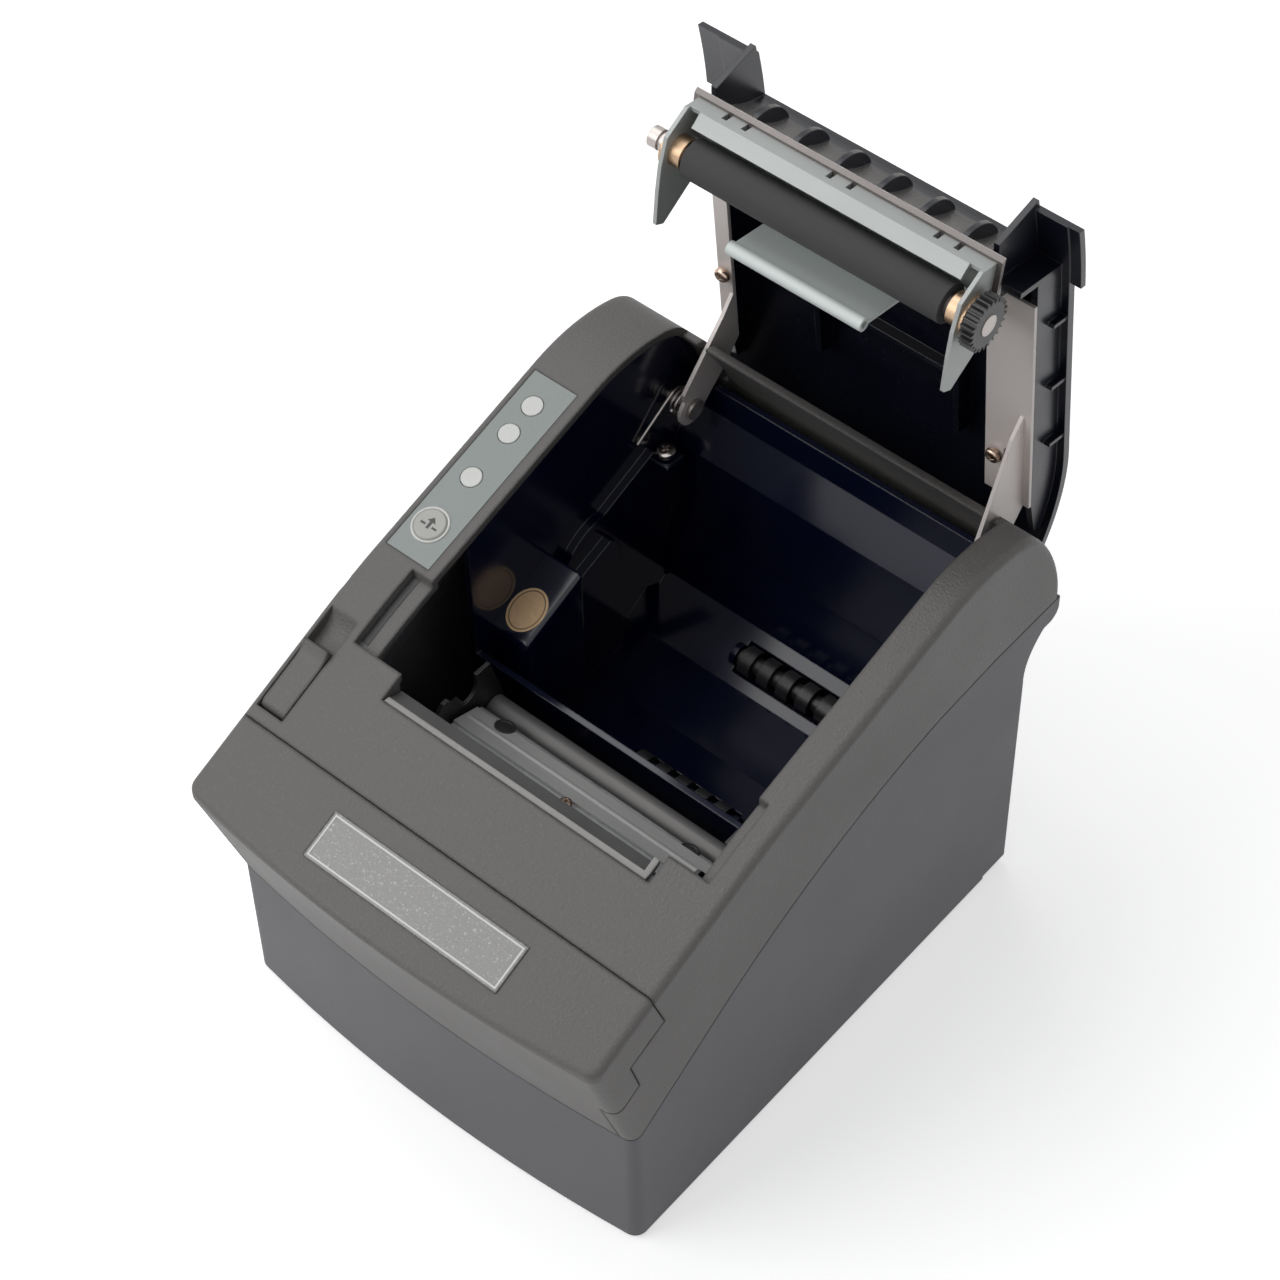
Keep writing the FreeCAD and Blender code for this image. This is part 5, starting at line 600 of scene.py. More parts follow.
dress(board_finish(), "main_board", "panel_board")
coat("head_ribbon", "flat_ribbon", (0.62, 0.60, 0.54), (0.70, 0.68, 0.62), (0.3, 0.42), cloud=40.0,
     streak=((900.0, 4.0, 4.0), 0.00004, (0.45, 0.44, 0.42)))
coat("power_inlet drawer_port network_port", "socket_black", (0.014, 0.014, 0.015), (0.022, 0.022, 0.023),
     (0.26, 0.38), cloud=80.0, edge=(0.0003, (0.06, 0.06, 0.06)))
coat("usb_port", "socket_shell", (0.58, 0.58, 0.57), (0.7, 0.7, 0.69), (0.18, 0.3), metal=1.0,
     streak=(ALONG_X, TURNED_LINES, (0.64, 0.64, 0.63)), edge=(0.0003, (0.8, 0.8, 0.8)))

# %% [markdown]
# The control panel is a grey-green printed film with a satin face. Three milky light guides come through
# it, and the cap of the feed key is a paler, warmer plastic. The film and the cap have a very fine grain,
# because a smooth face would show the lamps as hard patches.

# %% Control panel
FILM_CELLS, FILM_DEPTH = 3800.0, 0.000012
coat("control_film", "panel_film", (0.235, 0.265, 0.255), (0.262, 0.293, 0.283), (0.3, 0.4), cloud=26.0,
     grain=(FILM_CELLS, FILM_DEPTH, (0.33, 0.36, 0.35)), edge=(0.0003, (0.36, 0.38, 0.37)))
coat("feed_button", "key_cap", (0.40, 0.40, 0.375), (0.45, 0.445, 0.42), (0.32, 0.44), cloud=90.0,
     grain=(FILM_CELLS, FILM_DEPTH, (0.5, 0.49, 0.465)), edge=(0.0004, (0.56, 0.56, 0.54)))
coat("status_lights", "milky_guide", (0.64, 0.65, 0.625), (0.70, 0.705, 0.68), (0.3, 0.42), cloud=160.0,
     edge=(0.0006, (0.72, 0.72, 0.7)))

# %% [markdown]
# New pieces are small, so a few helpers keep them short. A primitive is added at its real size, faces and
# edges are picked by where they look or lie, and the finished shape is carried to its place and applied, so
# that the object itself stays at the origin like every solid of the model.

# %% Helpers for shaping
TINY = 1e-6


def pick(piece, test, kind="FACE"):
    """Selects the faces, edges or vertices of the piece being edited that pass the test."""
    bpy.ops.mesh.select_mode(type=kind)
    bpy.ops.mesh.select_all(action="DESELECT")
    mesh = bmesh.from_edit_mesh(piece.data)
    mesh.normal_update()
    elements = {"FACE": mesh.faces, "EDGE": mesh.edges, "VERT": mesh.verts}[kind]
    for element in elements:
        if test(element):
            element.select_set(True)
    bmesh.update_edit_mesh(piece.data)


def looks_up(face):
    return face.normal.z > 0.9


def start_piece(name, add, **sizes):
    """Adds a primitive, names it and opens it for editing."""
    bpy.ops.object.select_all(action="DESELECT")
    add(**sizes)
    piece = bpy.context.object
    piece.name = name
    bpy.ops.object.mode_set(mode="EDIT")
    return piece


def stretch_to(size):
    bpy.ops.mesh.select_all(action="SELECT")
    bpy.ops.transform.resize(value=size, center_override=(0, 0, 0))


def move(x, y, z):
    bpy.ops.transform.translate(value=(x, y, z))


def extrude(x, y, z):
    bpy.ops.mesh.extrude_region_move(TRANSFORM_OT_translate={"value": (x, y, z)})


def round_edges(size, steps):
    bpy.ops.mesh.bevel(offset=size, segments=steps, affect="EDGES")


def strip(name, left, right, points):
    """Sheet that is extruded edge by edge through points given as millimetres to the rear and up."""
    sheet = start_piece(name, bpy.ops.mesh.primitive_plane_add, size=1.0)
    (y0, z0), (y1, z1) = points[:2]
    stretch_to(((right - left) * MM, (y1 - y0) * MM, 1))
    centre = at((left + right) / 2, (y0 + y1) / 2, z0)
    move(*centre)
    pick(sheet, lambda edge: all(v.co.y > centre.y for v in edge.verts), "EDGE")
    move(0, 0, (z1 - z0) * MM)
    for (y0, z0), (y1, z1) in zip(points[1:-1], points[2:]):
        extrude(0, (y1 - y0) * MM, (z1 - z0) * MM)
    return sheet


print("helpers for shaping are ready")

# %% [markdown]
# When a piece has its shape, it is thickened if it is a sheet, carried to its place, and given its finish
# and the body that it moves with.

# %% Helpers for setting down
def facing_frame(place, normal, across=Vector((1, 0, 0))):
    """Turn and move that carry a piece built on the XY plane to a place with the given normal."""
    up = normal.normalized()
    side = (across - up * across.dot(up)).normalized()
    return Matrix.Translation(place) @ Matrix((side, up.cross(side), up)).transposed().to_4x4()


def select_only(piece):
    bpy.ops.object.select_all(action="DESELECT")
    piece.select_set(True)
    bpy.context.view_layer.objects.active = piece


def copy_of(piece):
    """Copy with its own mesh."""
    select_only(piece)
    bpy.ops.object.duplicate(linked=False)
    return bpy.context.object


def thicken(piece, thickness, offset):
    """Gives a sheet its thickness, below it at an offset of -1 and on both sides at 0."""
    bpy.ops.object.mode_set(mode="OBJECT")
    bpy.ops.object.modifier_add(type="SOLIDIFY")
    wall = piece.modifiers[-1]
    wall.thickness = thickness
    wall.offset = offset
    bpy.ops.object.modifier_apply(modifier=wall.name)


def set_down(piece, where, body, finish):
    """Closes the edit, moves the mesh to its place, and gives it its body and finish."""
    if bpy.context.mode != "OBJECT":
        bpy.ops.object.mode_set(mode="OBJECT")
    select_only(piece)
    piece.matrix_world = where
    bpy.ops.object.transform_apply(location=True, rotation=True, scale=True)
    bpy.ops.object.shade_smooth_by_angle(angle=math.radians(30.0))
    piece.data.materials.clear()
    piece.data.materials.append(finish)
    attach(piece, body)
    print(piece.name, "has", len(piece.data.polygons), "faces and rides on", body)


print("helpers for setting down are ready")

# %% [markdown]
# Cross-head screws hold the lid's arms, the mechanism, the head and the base. The solids have plain heads,
# so each group is replaced by better screws at the same places. The places could be typed in, but they are
# read from the solid: its flat faces that look one way fall into groups, one for each screw, and the side
# with the larger flats is the side of the heads.

# %% Where the screw heads are
ONE_SCREW = 9 * MM
ONE_FLAT = 0.05 * MM


def flat_tops(mesh, normal):
    """Centres and total area of the outermost flat of every screw, seen along one direction."""
    groups = []
    for face in mesh.polygons:
        if face.normal.dot(normal) < 0.999:
            continue
        for group in groups:
            if (group[0].center - face.center).length < ONE_SCREW:
                group.append(face)
                break
        else:
            groups.append([face])
    centres, total = [], 0.0
    for group in groups:
        outer = max(face.center.dot(normal) for face in group)
        flat = [face for face in group if outer - face.center.dot(normal) < ONE_FLAT]
        area = sum(face.area for face in flat)
        centres.append(sum((face.center * face.area for face in flat), Vector()) / area)
        total += area
    return centres, total


def screw_heads(node):
    """Centre of the top of every screw in a node, and the direction the heads face."""
    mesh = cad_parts[node].data
    areas = {}
    for face in mesh.polygons:
        key = tuple(round(x, 2) for x in face.normal)
        areas[key] = areas.get(key, 0.0) + face.area
    axis = Vector(max(areas, key=areas.get)).normalized()
    normal = max((axis, -axis), key=lambda side: flat_tops(mesh, side)[1])
    return flat_tops(mesh, normal)[0], normal


print("the lid has", len(screw_heads("lid_screws")[0]), "screw heads")

# %% [markdown]
# One screw starts as a cylinder for the head. Its lower face is inset and extruded for the shank, the upper
# rim is rounded to a dome, and a crossed bar that narrows downwards cuts the recess, as a punch does on the
# real one.

# %% One cross-head screw
BAR_NARROW, BAR_TIP = 0.24, (0.5, 0.7, 1)
RECESS_WIDTH, RECESS_DEPTH, DOME = 1.15, 0.62, 0.55


def looks_down(face):
    return face.normal.z < -0.9


def cross_cutter(width, depth):
    """Two crossed bars that narrow downwards."""
    bar = start_piece("cross_bar", bpy.ops.mesh.primitive_cube_add, size=1.0)
    stretch_to((width, width * BAR_NARROW, 2 * depth))
    pick(bar, looks_down)
    bpy.ops.transform.resize(value=BAR_TIP, center_override=(0, 0, 0))
    bpy.ops.mesh.select_all(action="SELECT")
    bpy.ops.mesh.duplicate()
    bpy.ops.transform.rotate(value=math.radians(90), orient_axis="Z", center_override=(0, 0, 0))
    bpy.ops.object.mode_set(mode="OBJECT")
    return bar


def cut_with(piece, cutter):
    bpy.context.view_layer.objects.active = piece
    bpy.ops.object.modifier_add(type="BOOLEAN")
    cut = piece.modifiers[-1]
    cut.object = cutter
    cut.use_self = True
    bpy.ops.object.modifier_apply(modifier=cut.name)
    bpy.data.objects.remove(cutter)


def cross_screw(name, radius, height, shank, length):
    """Screw with its head top at the origin, pointing up."""
    screw = start_piece(name, bpy.ops.mesh.primitive_cylinder_add, vertices=40, radius=radius, depth=height,
                        location=(0, 0, -height / 2))
    pick(screw, looks_down)
    bpy.ops.mesh.inset(thickness=radius - shank)
    extrude(0, 0, -length)
    pick(screw, lambda edge: all(v.co.z > -0.01 * MM for v in edge.verts), "EDGE")
    round_edges(height * DOME, 5)
    bpy.ops.object.mode_set(mode="OBJECT")
    cut_with(screw, cross_cutter(radius * RECESS_WIDTH, height * RECESS_DEPTH))
    return screw


print("one screw is ready to be made")

# %% [markdown]
# A copy of the screw goes to every head. Each is turned a little further than the last, because no one
# stops a screwdriver at the same angle twice. The copies of one group are joined, and that piece stands for
# the node.

# %% Screws in their places
FIRST_TURN, NEXT_TURN = 0.4, 0.9
SCREWS = (("lid_screws", "lid", 2.4, 1.6, 1.5, 4.2),
          ("mechanism_screws", "base", 2.4, 1.6, 1.5, 4.2),
          ("head_screw", "base", 1.9, 1.2, 1.25, 3.0),
          ("base_screws", "base", 2.4, 1.0, 1.5, 8.0))
copper = make_finish("copper_passivated", (0.50, 0.36, 0.28), (0.68, 0.52, 0.42), (0.2, 0.34), metal=1.0,
                     cloud=300.0, edge=(0.0002, (0.85, 0.72, 0.62)))


def screws_for(node, body, radius, height, shank, length):
    """Copies of one screw at every head of a node, joined to one piece that stands for the node."""
    centres, normal = screw_heads(node)
    first = cross_screw("cross_head_" + node, radius * MM, height * MM, shank * MM, length * MM)
    screws = [first] + [copy_of(first) for _ in centres[1:]]
    bpy.ops.object.select_all(action="DESELECT")
    for i, (screw, centre) in enumerate(zip(screws, centres)):
        turn = Matrix.Rotation(FIRST_TURN + NEXT_TURN * i, 4, "Z")
        screw.matrix_world = facing_frame(centre, normal) @ turn
        screw.select_set(True)
    bpy.context.view_layer.objects.active = first
    bpy.ops.object.transform_apply(location=True, rotation=True, scale=True)
    if len(screws) > 1:
        bpy.ops.object.join()
    set_down(first, Matrix(), body, copper)
    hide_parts(node)
    dressed.add(node)


for screw_row in SCREWS:
    screws_for(*screw_row)

# %% [markdown]
# The front cover carries a foil plate, left blank here. It is a thin sheet with rounded corners whose pale
# printed frame is a real step, made by two insets, and its field is a ground foil with fine bright flecks.
# A painted rectangle on the cover would have no edge to catch the light.

# %% Foil plate on the front cover
PLATE_LENGTH, PLATE_WIDTH, PLATE_THICKNESS = 68.4 * MM, 14.8 * MM, 0.24 * MM
PLATE_MARGIN, PLATE_FRAME = 0.9 * MM, 0.55 * MM
PLATE_SUNK, PLATE_CORNER = 0.08 * MM, 0.5 * MM
COVER_NORMAL = Vector((0, -0.381, 0.925))
PLATE_PLACE = at(2.2, -4.5, 104.42)
frame_white = make_finish("frame_white", (0.66, 0.66, 0.645), (0.74, 0.74, 0.725), (0.36, 0.46), cloud=300.0)
ground_foil = make_finish("ground_foil", (0.185, 0.184, 0.178), (0.25, 0.248, 0.24), (0.34, 0.5), metal=0.35,
                          cloud=2400.0, grain=(1400.0, 0.00004, (0.42, 0.415, 0.4)))


def foil_plate():
    plate = start_piece("foil_plate", bpy.ops.mesh.primitive_cube_add, size=1.0)
    stretch_to((PLATE_LENGTH, PLATE_WIDTH, PLATE_THICKNESS))
    pick(plate, looks_up)
    bpy.ops.mesh.inset(thickness=PLATE_MARGIN)
    bpy.ops.mesh.inset(thickness=PLATE_FRAME)
    extrude(0, 0, -PLATE_SUNK)
    corner = Vector((PLATE_LENGTH / 2, PLATE_WIDTH / 2))

    def at_corner(edge):
        return all((Vector((abs(v.co.x), abs(v.co.y))) - corner).length < TINY for v in edge.verts)

    pick(plate, at_corner, "EDGE")
    round_edges(PLATE_CORNER, 3)
    set_down(plate, facing_frame(PLATE_PLACE, COVER_NORMAL), "cover", ground_foil)
    plate.data.materials.append(frame_white)
    up_the_slope = COVER_NORMAL.cross(Vector((1, 0, 0)))
    for face in plate.data.polygons:
        local = face.center - PLATE_PLACE
        along = abs(local.x) - (PLATE_LENGTH / 2 - PLATE_MARGIN)
        across = abs(local.dot(up_the_slope)) - (PLATE_WIDTH / 2 - PLATE_MARGIN)
        on_frame = -PLATE_FRAME < max(along, across) < 0
        if on_frame and face.normal.dot(COVER_NORMAL) > 0.9:
            face.material_index = 1


foil_plate()

# %% [markdown]
# Inside the bin, a moulded shoulder stands out from the left wall, with a sloping top and a foot that
# follows the round of the bin. A box would leave gaps at the foot, so a strip is extruded in short steps,
# lifted to a solid, and every row of points is moved to its own height. It has the bin's own polish.

# %% Shoulder in the bin
SHOULDER_LEFT, SHOULDER_RIGHT, SHOULDER_ROUND = -51.4, -37.8, 1.6 * MM
SHOULDER_YS = (84.0, 88.0, 92.0, 96.0, 102.0, 109.0)
SHOULDER_FEET = (64.0, 58.3, 52.7, 49.3, 47.4, 45.2)
SHOULDER_RISE = 0.393
SEAL_PLACE = (-45.0, 92.6, 96.1)


def shoulder_top(y):
    return SEAL_PLACE[2] + SHOULDER_RISE * (y - SEAL_PLACE[1])


def bin_shoulder():
    shoulder = strip("bin_shoulder", SHOULDER_LEFT, SHOULDER_RIGHT, [(y, 0.0) for y in SHOULDER_YS])
    bpy.ops.mesh.select_all(action="SELECT")
    extrude(0, 0, 1 * MM)
    for y, foot in zip(SHOULDER_YS, SHOULDER_FEET):
        row = at(0, y, 0).y
        for level, height in ((0.0, foot * MM), (1 * MM, shoulder_top(y) * MM - 1 * MM)):
            pick(shoulder, lambda v: abs(v.co.y - row) < TINY and abs(v.co.z - level) < TINY, "VERT")
            move(0, 0, height)
    bpy.ops.mesh.select_all(action="SELECT")
    bpy.ops.mesh.normals_make_consistent(inside=False)
    inner = SHOULDER_RIGHT * MM - TINY
    front = at(0, SHOULDER_YS[0], 0).y + TINY
    rear = at(0, SHOULDER_YS[-1], 0).y - TINY
    lowest_top = shoulder_top(SHOULDER_YS[0]) * MM - 10 * TINY

    def rounded(edge):
        side = all(v.co.x > inner for v in edge.verts)
        end = all(v.co.y < front for v in edge.verts) or all(v.co.y > rear for v in edge.verts)
        top = min(v.co.z for v in edge.verts) > lowest_top
        return (side and (top or end)) or (end and top)

    pick(shoulder, rounded, "EDGE")
    round_edges(SHOULDER_ROUND, 4)
    set_down(shoulder, Matrix(), "base", bin_gloss)


bin_shoulder()

# %% [markdown]
# A small gold oval seal lies on the shoulder, left blank here. It is a stretched disc with a raised rim, a
# fine dark line and a field, made by two insets, and each part has its own tone.

# %% Gold seal
SEAL_SIZE = (5.7 * MM, 7.0 * MM, 0.16 * MM)
SEAL_RIM, SEAL_LINE = 0.7 * MM, 0.35 * MM
SEAL_SUNK, SEAL_RAISED, SEAL_LIFT = 0.06 * MM, 0.04 * MM, 0.07 * MM
SEAL_NORMAL = Vector((0, -SHOULDER_RISE, 1))
gold = make_finish("gold_seal", (0.84, 0.56, 0.31), (0.92, 0.65, 0.39), (0.34, 0.46), metal=0.15, cloud=500.0,
                   grain=(2600.0, 0.00003, (0.86, 0.64, 0.4)))
gold_field = make_finish("gold_field", (0.8, 0.53, 0.29), (0.9, 0.62, 0.36), (0.36, 0.5), metal=0.12,
                         cloud=700.0, grain=(3200.0, 0.00003, (0.8, 0.57, 0.35)))
seal_line = make_finish("seal_line", (0.16, 0.09, 0.04), (0.22, 0.13, 0.06), (0.4, 0.5), cloud=500.0)


def gold_seal():
    seal = start_piece("gold_seal", bpy.ops.mesh.primitive_cylinder_add, vertices=72, radius=1.0, depth=1.0)
    stretch_to(SEAL_SIZE)
    pick(seal, looks_up)
    bpy.ops.mesh.inset(thickness=SEAL_RIM)
    extrude(0, 0, -SEAL_SUNK)
    bpy.ops.mesh.inset(thickness=SEAL_LINE)
    extrude(0, 0, SEAL_RAISED)
    place = at(*SEAL_PLACE) + SEAL_NORMAL.normalized() * SEAL_LIFT
    set_down(seal, facing_frame(place, SEAL_NORMAL), "base", gold)
    seal.data.materials.append(gold_field)
    seal.data.materials.append(seal_line)
    for face in seal.data.polygons:
        lift = (face.center - place).dot(SEAL_NORMAL.normalized())
        if (face.center - place).length < 0.5 * MM:
            face.material_index = 1
        elif 0.0 < lift < 0.05 * MM and face.normal.dot(SEAL_NORMAL) > 0.5:
            face.material_index = 2


gold_seal()

# %% [markdown]
# A screw in the rear left corner holds the bin to the base and stands on a short boss. The boss is a block
# whose free lower edge is raised, so that it grows out of the wall as a moulding does, and its top edges
# are rounded.

# %% Corner boss and its screw
BOSS_PLACE, BOSS_SIZE, BOSS_HEIGHT = (-47.4, 156.0, 105.0), 7.8 * MM, 11.0 * MM
BOSS_CUT, BOSS_ROUND = 7.0 * MM, 0.9 * MM
BOSS_SCREW = (2.9 * MM, 1.9 * MM, 1.4 * MM, 3.0 * MM)
nickel = make_finish("nickel_screw", (0.52, 0.46, 0.44), (0.7, 0.63, 0.6), (0.16, 0.28), metal=1.0,
                     cloud=300.0, edge=(0.0002, (0.85, 0.8, 0.78)))


def corner_boss():
    boss = start_piece("corner_boss", bpy.ops.mesh.primitive_cube_add, size=1.0)
    stretch_to((BOSS_SIZE, BOSS_SIZE, BOSS_HEIGHT))
    pick(boss, lambda v: v.co.z < 0 and v.co.x > 0, "VERT")
    move(0, 0, BOSS_CUT)
    pick(boss, lambda edge: min(v.co.z for v in edge.verts) > 0.4 * BOSS_HEIGHT, "EDGE")
    round_edges(BOSS_ROUND, 4)
    centre = at(*BOSS_PLACE) - Vector((0, 0, BOSS_HEIGHT / 2))
    set_down(boss, Matrix.Translation(centre), "base", bin_gloss)
    screw = cross_screw("corner_screw", *BOSS_SCREW)
    head_top = at(*BOSS_PLACE) + Vector((0, 0, BOSS_SCREW[1]))
    set_down(screw, facing_frame(head_top, Vector((0, 0, 1))), "base", nickel)


corner_boss()

# %% [markdown]
# The paper comes out over a rim along the front of the opening, turned back at its right end. Its pale
# grey is a painted highlight for the light caught by the bevelled edge of the lip. It could be two bars
# that meet, but then a line would show in the corner, so it is one bar: its rear face is cut in two, and
# the short part at the right end is extruded for the turn.

# %% Exit rim
RIM_LEFT, RIM_RIGHT, RIM_FRONT, RIM_WIDTH, RIM_TURN = -40.6, 50.6, 31.3, 2.0, 4.2
RIM_HEIGHT, RIM_SUNK, RIM_ROUND = 1.6, 1.2, 0.3 * MM
DECK_Y, DECK_Z, DECK_SLOPE = 28.53, 118.03, 0.381 / 0.925
# The rim's pale grey is a painted highlight along the edge of the lip.
lip_highlight_grey = make_finish("lip_highlight_grey", (0.26, 0.252, 0.245), (0.31, 0.302, 0.294), (0.4, 0.52), cloud=60.0,
                       grain=(PEBBLES, 0.00004, (0.36, 0.35, 0.342)), edge=(0.0004, (0.4, 0.39, 0.38)))


def deck_height(y):
    return DECK_Z + DECK_SLOPE * (y - DECK_Y)


def looks_back(face):
    return face.normal.y > 0.9


def exit_rim():
    rim = start_piece("exit_rim", bpy.ops.mesh.primitive_cube_add, size=1.0)
    stretch_to(((RIM_RIGHT - RIM_LEFT) * MM, RIM_WIDTH * MM, RIM_HEIGHT * MM))
    centre = at((RIM_LEFT + RIM_RIGHT) / 2, RIM_FRONT + RIM_WIDTH / 2, deck_height(RIM_FRONT) - RIM_SUNK)
    move(*centre)
    pick(rim, looks_back)
    bpy.ops.mesh.subdivide(number_cuts=1)
    pick(rim, lambda v: v.co.y > centre.y and abs(v.co.x - centre.x) < TINY, "VERT")
    move((RIM_RIGHT - RIM_LEFT) / 2 * MM - RIM_WIDTH * MM, 0, 0)
    turn_x = at(RIM_RIGHT - RIM_WIDTH, 0, 0).x
    pick(rim, lambda face: looks_back(face) and face.calc_center_median().x > turn_x)
    extrude(0, RIM_TURN * MM, RIM_TURN * DECK_SLOPE * MM)
    bpy.ops.mesh.select_all(action="SELECT")
    bpy.ops.mesh.normals_make_consistent(inside=False)

    def upper_corner(edge):
        return edge.calc_face_angle(0) > 0.9 and min(v.co.z for v in edge.verts) > centre.z

    pick(rim, upper_corner, "EDGE")
    round_edges(RIM_ROUND, 3)
    set_down(rim, Matrix(), "base", lip_highlight_grey)


exit_rim()

# %% [markdown]
# Behind the rim, a dark apron leads down to the cutter. It is a sheet with a lip bent down at its rear
# edge: a plane whose rear edge is lowered and then extruded, and at last given its thickness.

# %% Exit apron
APRON_REAR, APRON_DROP = 38.1, 1.9
APRON_TUCK, APRON_SUNK = 0.2, 1.1
APRON_LIP, APRON_THICKNESS = (0, 0.2 * MM, -2.4 * MM), 0.8 * MM
apron_grey = make_finish("apron_grey", (0.07, 0.068, 0.067), (0.085, 0.083, 0.082), (0.46, 0.6), cloud=60.0,
                         grain=(PEBBLES, 0.00004, (0.1, 0.098, 0.097)), edge=(0.0004, (0.15, 0.15, 0.15)))


def exit_apron():
    front = RIM_FRONT + RIM_WIDTH - APRON_TUCK
    level = deck_height(RIM_FRONT) - APRON_SUNK
    points = ((front, level), (APRON_REAR, level - APRON_DROP))
    apron = strip("exit_apron", RIM_LEFT, RIM_RIGHT - RIM_WIDTH, points)
    extrude(*APRON_LIP)
    thicken(apron, APRON_THICKNESS, -1.0)
    set_down(apron, Matrix(), "base", apron_grey)


exit_apron()

# %% [markdown]
# Two dark rings sit near the ends of the print head. They are low discs with a sunk middle and a softened
# rim. One is modelled, and the other is a copy with a mesh of its own.

# %% Rings on the print head
HEAD_NORMAL = Vector((0, 0.342, 0.94))
RING_PLACES = ((-26.4, 61.9, 88.45), (38.9, 62.6, 87.25))
RING_RADIUS, RING_HEIGHT = 3.1 * MM, 0.6 * MM
RING_WALL, RING_SUNK, RING_ROUND = 0.8 * MM, 0.25 * MM, 0.1 * MM


def head_grommets():
    ring = start_piece("head_grommet_left", bpy.ops.mesh.primitive_cylinder_add, vertices=48,
                       radius=RING_RADIUS, depth=RING_HEIGHT)
    pick(ring, looks_up)
    bpy.ops.mesh.inset(thickness=RING_WALL)
    extrude(0, 0, -RING_SUNK)
    pick(ring, lambda edge: min(v.co.z for v in edge.verts) > RING_HEIGHT / 2 - 0.01 * MM, "EDGE")
    round_edges(RING_ROUND, 2)
    bpy.ops.object.mode_set(mode="OBJECT")
    other = copy_of(ring)
    other.name = "head_grommet_right"
    for piece, place in zip((ring, other), RING_PLACES):
        set_down(piece, facing_frame(at(*place), HEAD_NORMAL), "base", black_moulding)


head_grommets()

# %% [markdown]
# Beside the left rail the deck has a recess that follows the curve of the case, and its left wall lies in
# shade as a long dark band. A thin dark strip on the recess floor is painted shade for that wall: a strip
# extruded along the curve.

# %% Painted shade beside the left rail
RAIL_SHADE = ((41.4, 120.66), (46.0, 122.46), (51.5, 124.53), (56.5, 126.22), (62.7, 128.07))
RAIL_SHADE_LEFT, RAIL_SHADE_RIGHT, RAIL_SHADE_THICKNESS = -57.9, -55.5, 0.3 * MM


def rail_recess_shade():
    # The black strip is painted shade for the shaded wall of the recess.
    shade_strip = strip("rail_recess_shade", RAIL_SHADE_LEFT, RAIL_SHADE_RIGHT, RAIL_SHADE)
    thicken(shade_strip, RAIL_SHADE_THICKNESS, 0.0)
    set_down(shade_strip, Matrix(), "base", black_moulding)


rail_recess_shade()

# %% [markdown]
# The feed key is framed by a pale raised ring. A whole torus would sink half of itself into the film, so it
# is cut flat at its middle and filled, and the flat lies on the film.

# %% Ring of the feed key
PANEL_NORMAL = Vector((0, -0.271, 0.963))
KEY_RING_RADIUS, KEY_RING_WIRE = 5.25 * MM, 0.42 * MM
KEY_FLAT = 0.02 * MM
bezel_white = make_finish("bezel_white", (0.64, 0.64, 0.61), (0.72, 0.715, 0.69), (0.3, 0.42), cloud=120.0,
                          edge=(0.0003, (0.66, 0.66, 0.64)))


def panel_level(points):
    """How far out the outermost of the points lies along the panel's normal."""
    return max(point.dot(PANEL_NORMAL) for point in points)


def key_centre():
    """Middle of the cap's flat top."""
    points = [v.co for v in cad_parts["feed_button"].data.vertices]
    outer = panel_level(points)
    flat = [point for point in points if outer - point.dot(PANEL_NORMAL) < KEY_FLAT]
    return sum(flat, Vector()) / len(flat)


def key_ring():
    ring = start_piece("key_ring", bpy.ops.mesh.primitive_torus_add, major_radius=KEY_RING_RADIUS,
                       minor_radius=KEY_RING_WIRE, major_segments=72, minor_segments=16)
    bpy.ops.mesh.select_all(action="SELECT")
    bpy.ops.mesh.bisect(plane_co=(0, 0, 0), plane_no=(0, 0, 1), clear_inner=True, use_fill=True)
    film_top = panel_level([v.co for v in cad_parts["control_film"].data.vertices])
    centre = key_centre()
    place = centre + PANEL_NORMAL.normalized() * (film_top - centre.dot(PANEL_NORMAL))
    set_down(ring, facing_frame(place, PANEL_NORMAL), "base", bezel_white)


key_ring()

# %% [markdown]
# The key's cap carries a printed sign: a plain arrow that rises from a slot. It could be painted by nodes,
# but a thin raised print is sharper from every side. The arrow's stem is a plane whose end is widened and
# merged to a point, and a bent bar stands on each side of it.

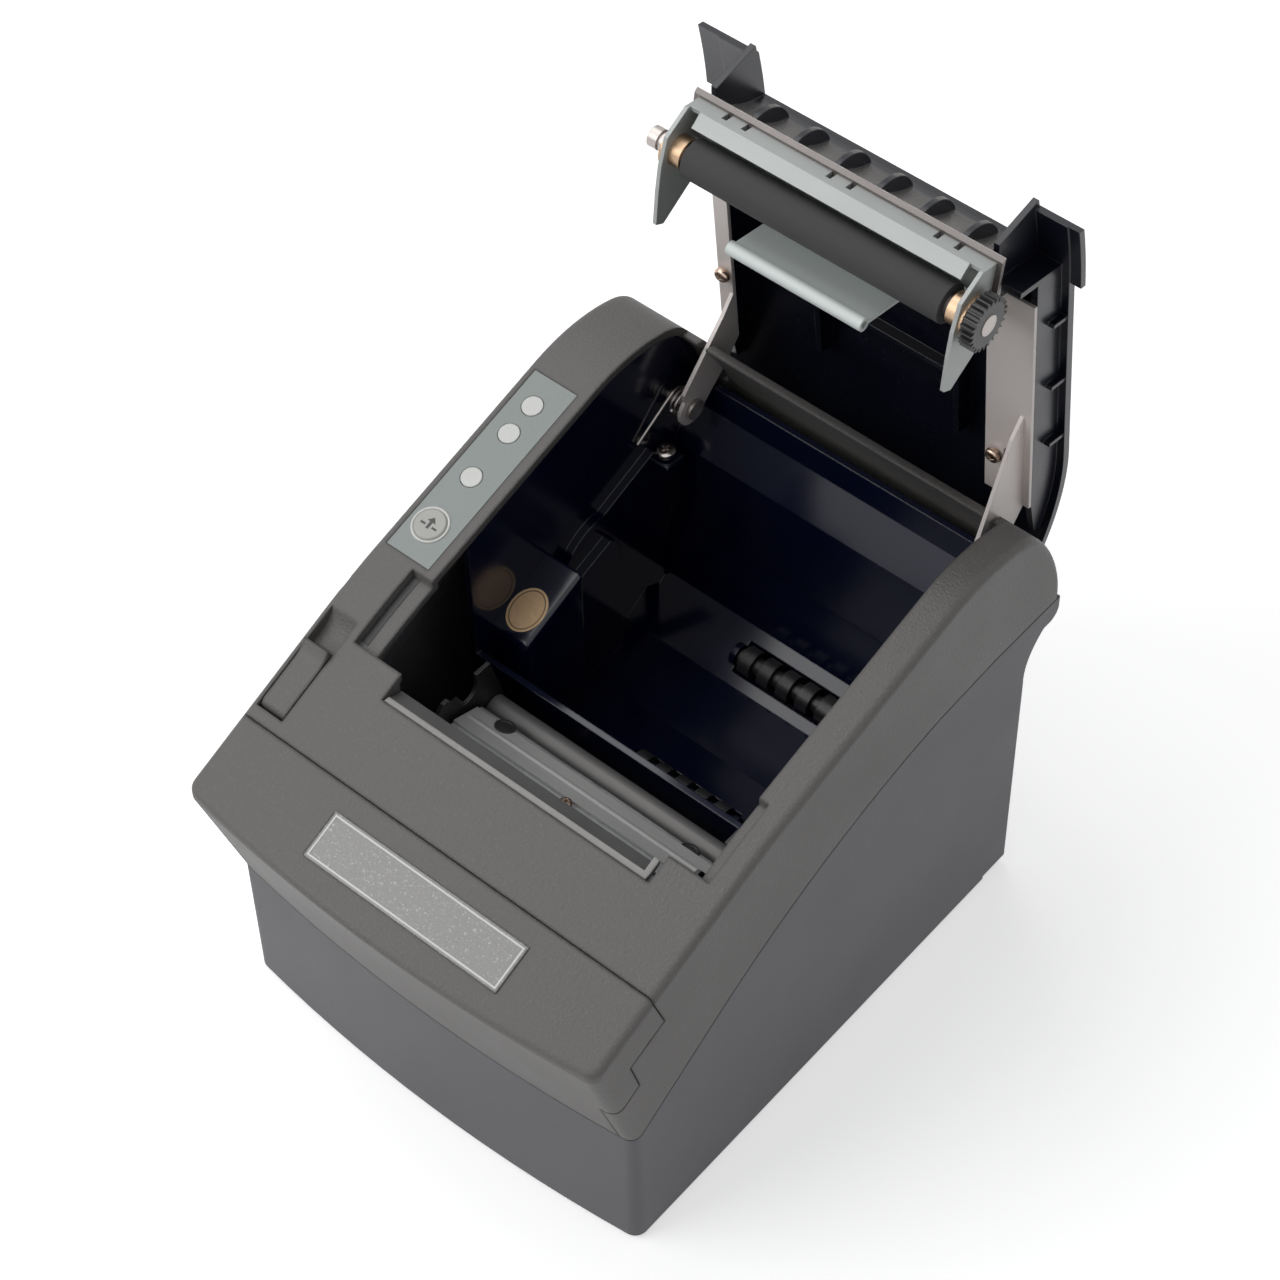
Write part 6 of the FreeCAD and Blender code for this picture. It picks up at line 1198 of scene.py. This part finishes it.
# %% Sign on the feed key
STEM = (0.7 * MM, 1.7 * MM, 1)
STEM_LOW, STEM_TOP = 0.35 * MM, 0.5 * MM
ARROW_WIDE, ARROW_LONG = (3.2, 1, 1), 1.25 * MM
BAR, BAR_OUT, BAR_LOW = (1.3 * MM, 0.5 * MM, 1), 1.55 * MM, 0.5 * MM
BEND_DROP, BEND_NARROW, BEND_OUT, BEND_LONG = 0.2 * MM, (0.4, 1, 1), 2.2 * MM, 1.0 * MM
SIGN_SCALE, SIGN_THICKNESS = (1.3, 1.3, 1), 0.06 * MM
print_ink = make_finish("print_ink", (0.03, 0.032, 0.033), (0.05, 0.052, 0.053), (0.4, 0.55), cloud=400.0)


def bent_bar(sign, side):
    bpy.ops.mesh.primitive_plane_add(size=1.0)
    bpy.ops.transform.resize(value=BAR, center_override=(0, 0, 0))
    move(side * BAR_OUT, -BAR_LOW, 0)
    pick(sign, lambda edge: all(v.co.y < -0.7 * MM and v.co.x * side > 1.0 * MM for v in edge.verts), "EDGE")
    extrude(0, -BEND_DROP, 0)
    bpy.ops.transform.resize(value=BEND_NARROW, center_override=(side * BEND_OUT, 0, 0))
    extrude(0, -BEND_LONG, 0)


def feed_sign():
    sign = start_piece("feed_sign", bpy.ops.mesh.primitive_plane_add, size=1.0)
    stretch_to(STEM)
    move(0, -STEM_LOW, 0)
    pick(sign, lambda edge: all(v.co.y > STEM_TOP - 0.1 * MM for v in edge.verts), "EDGE")
    extrude(0, 0, 0)
    bpy.ops.transform.resize(value=ARROW_WIDE, center_override=(0, STEM_TOP, 0))
    extrude(0, ARROW_LONG, 0)
    bpy.ops.mesh.merge(type="CENTER")
    for side in (-1, 1):
        bent_bar(sign, side)
    stretch_to(SIGN_SCALE)
    thicken(sign, SIGN_THICKNESS, 0.0)
    set_down(sign, facing_frame(key_centre(), PANEL_NORMAL), "feed_key", print_ink)


feed_sign()

# %% [markdown]
# At the end, every solid has to have a finish, so the solids that still have none are listed.

# %% List the solids without a finish
print("nodes without a finish:", sorted(set(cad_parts) - dressed))
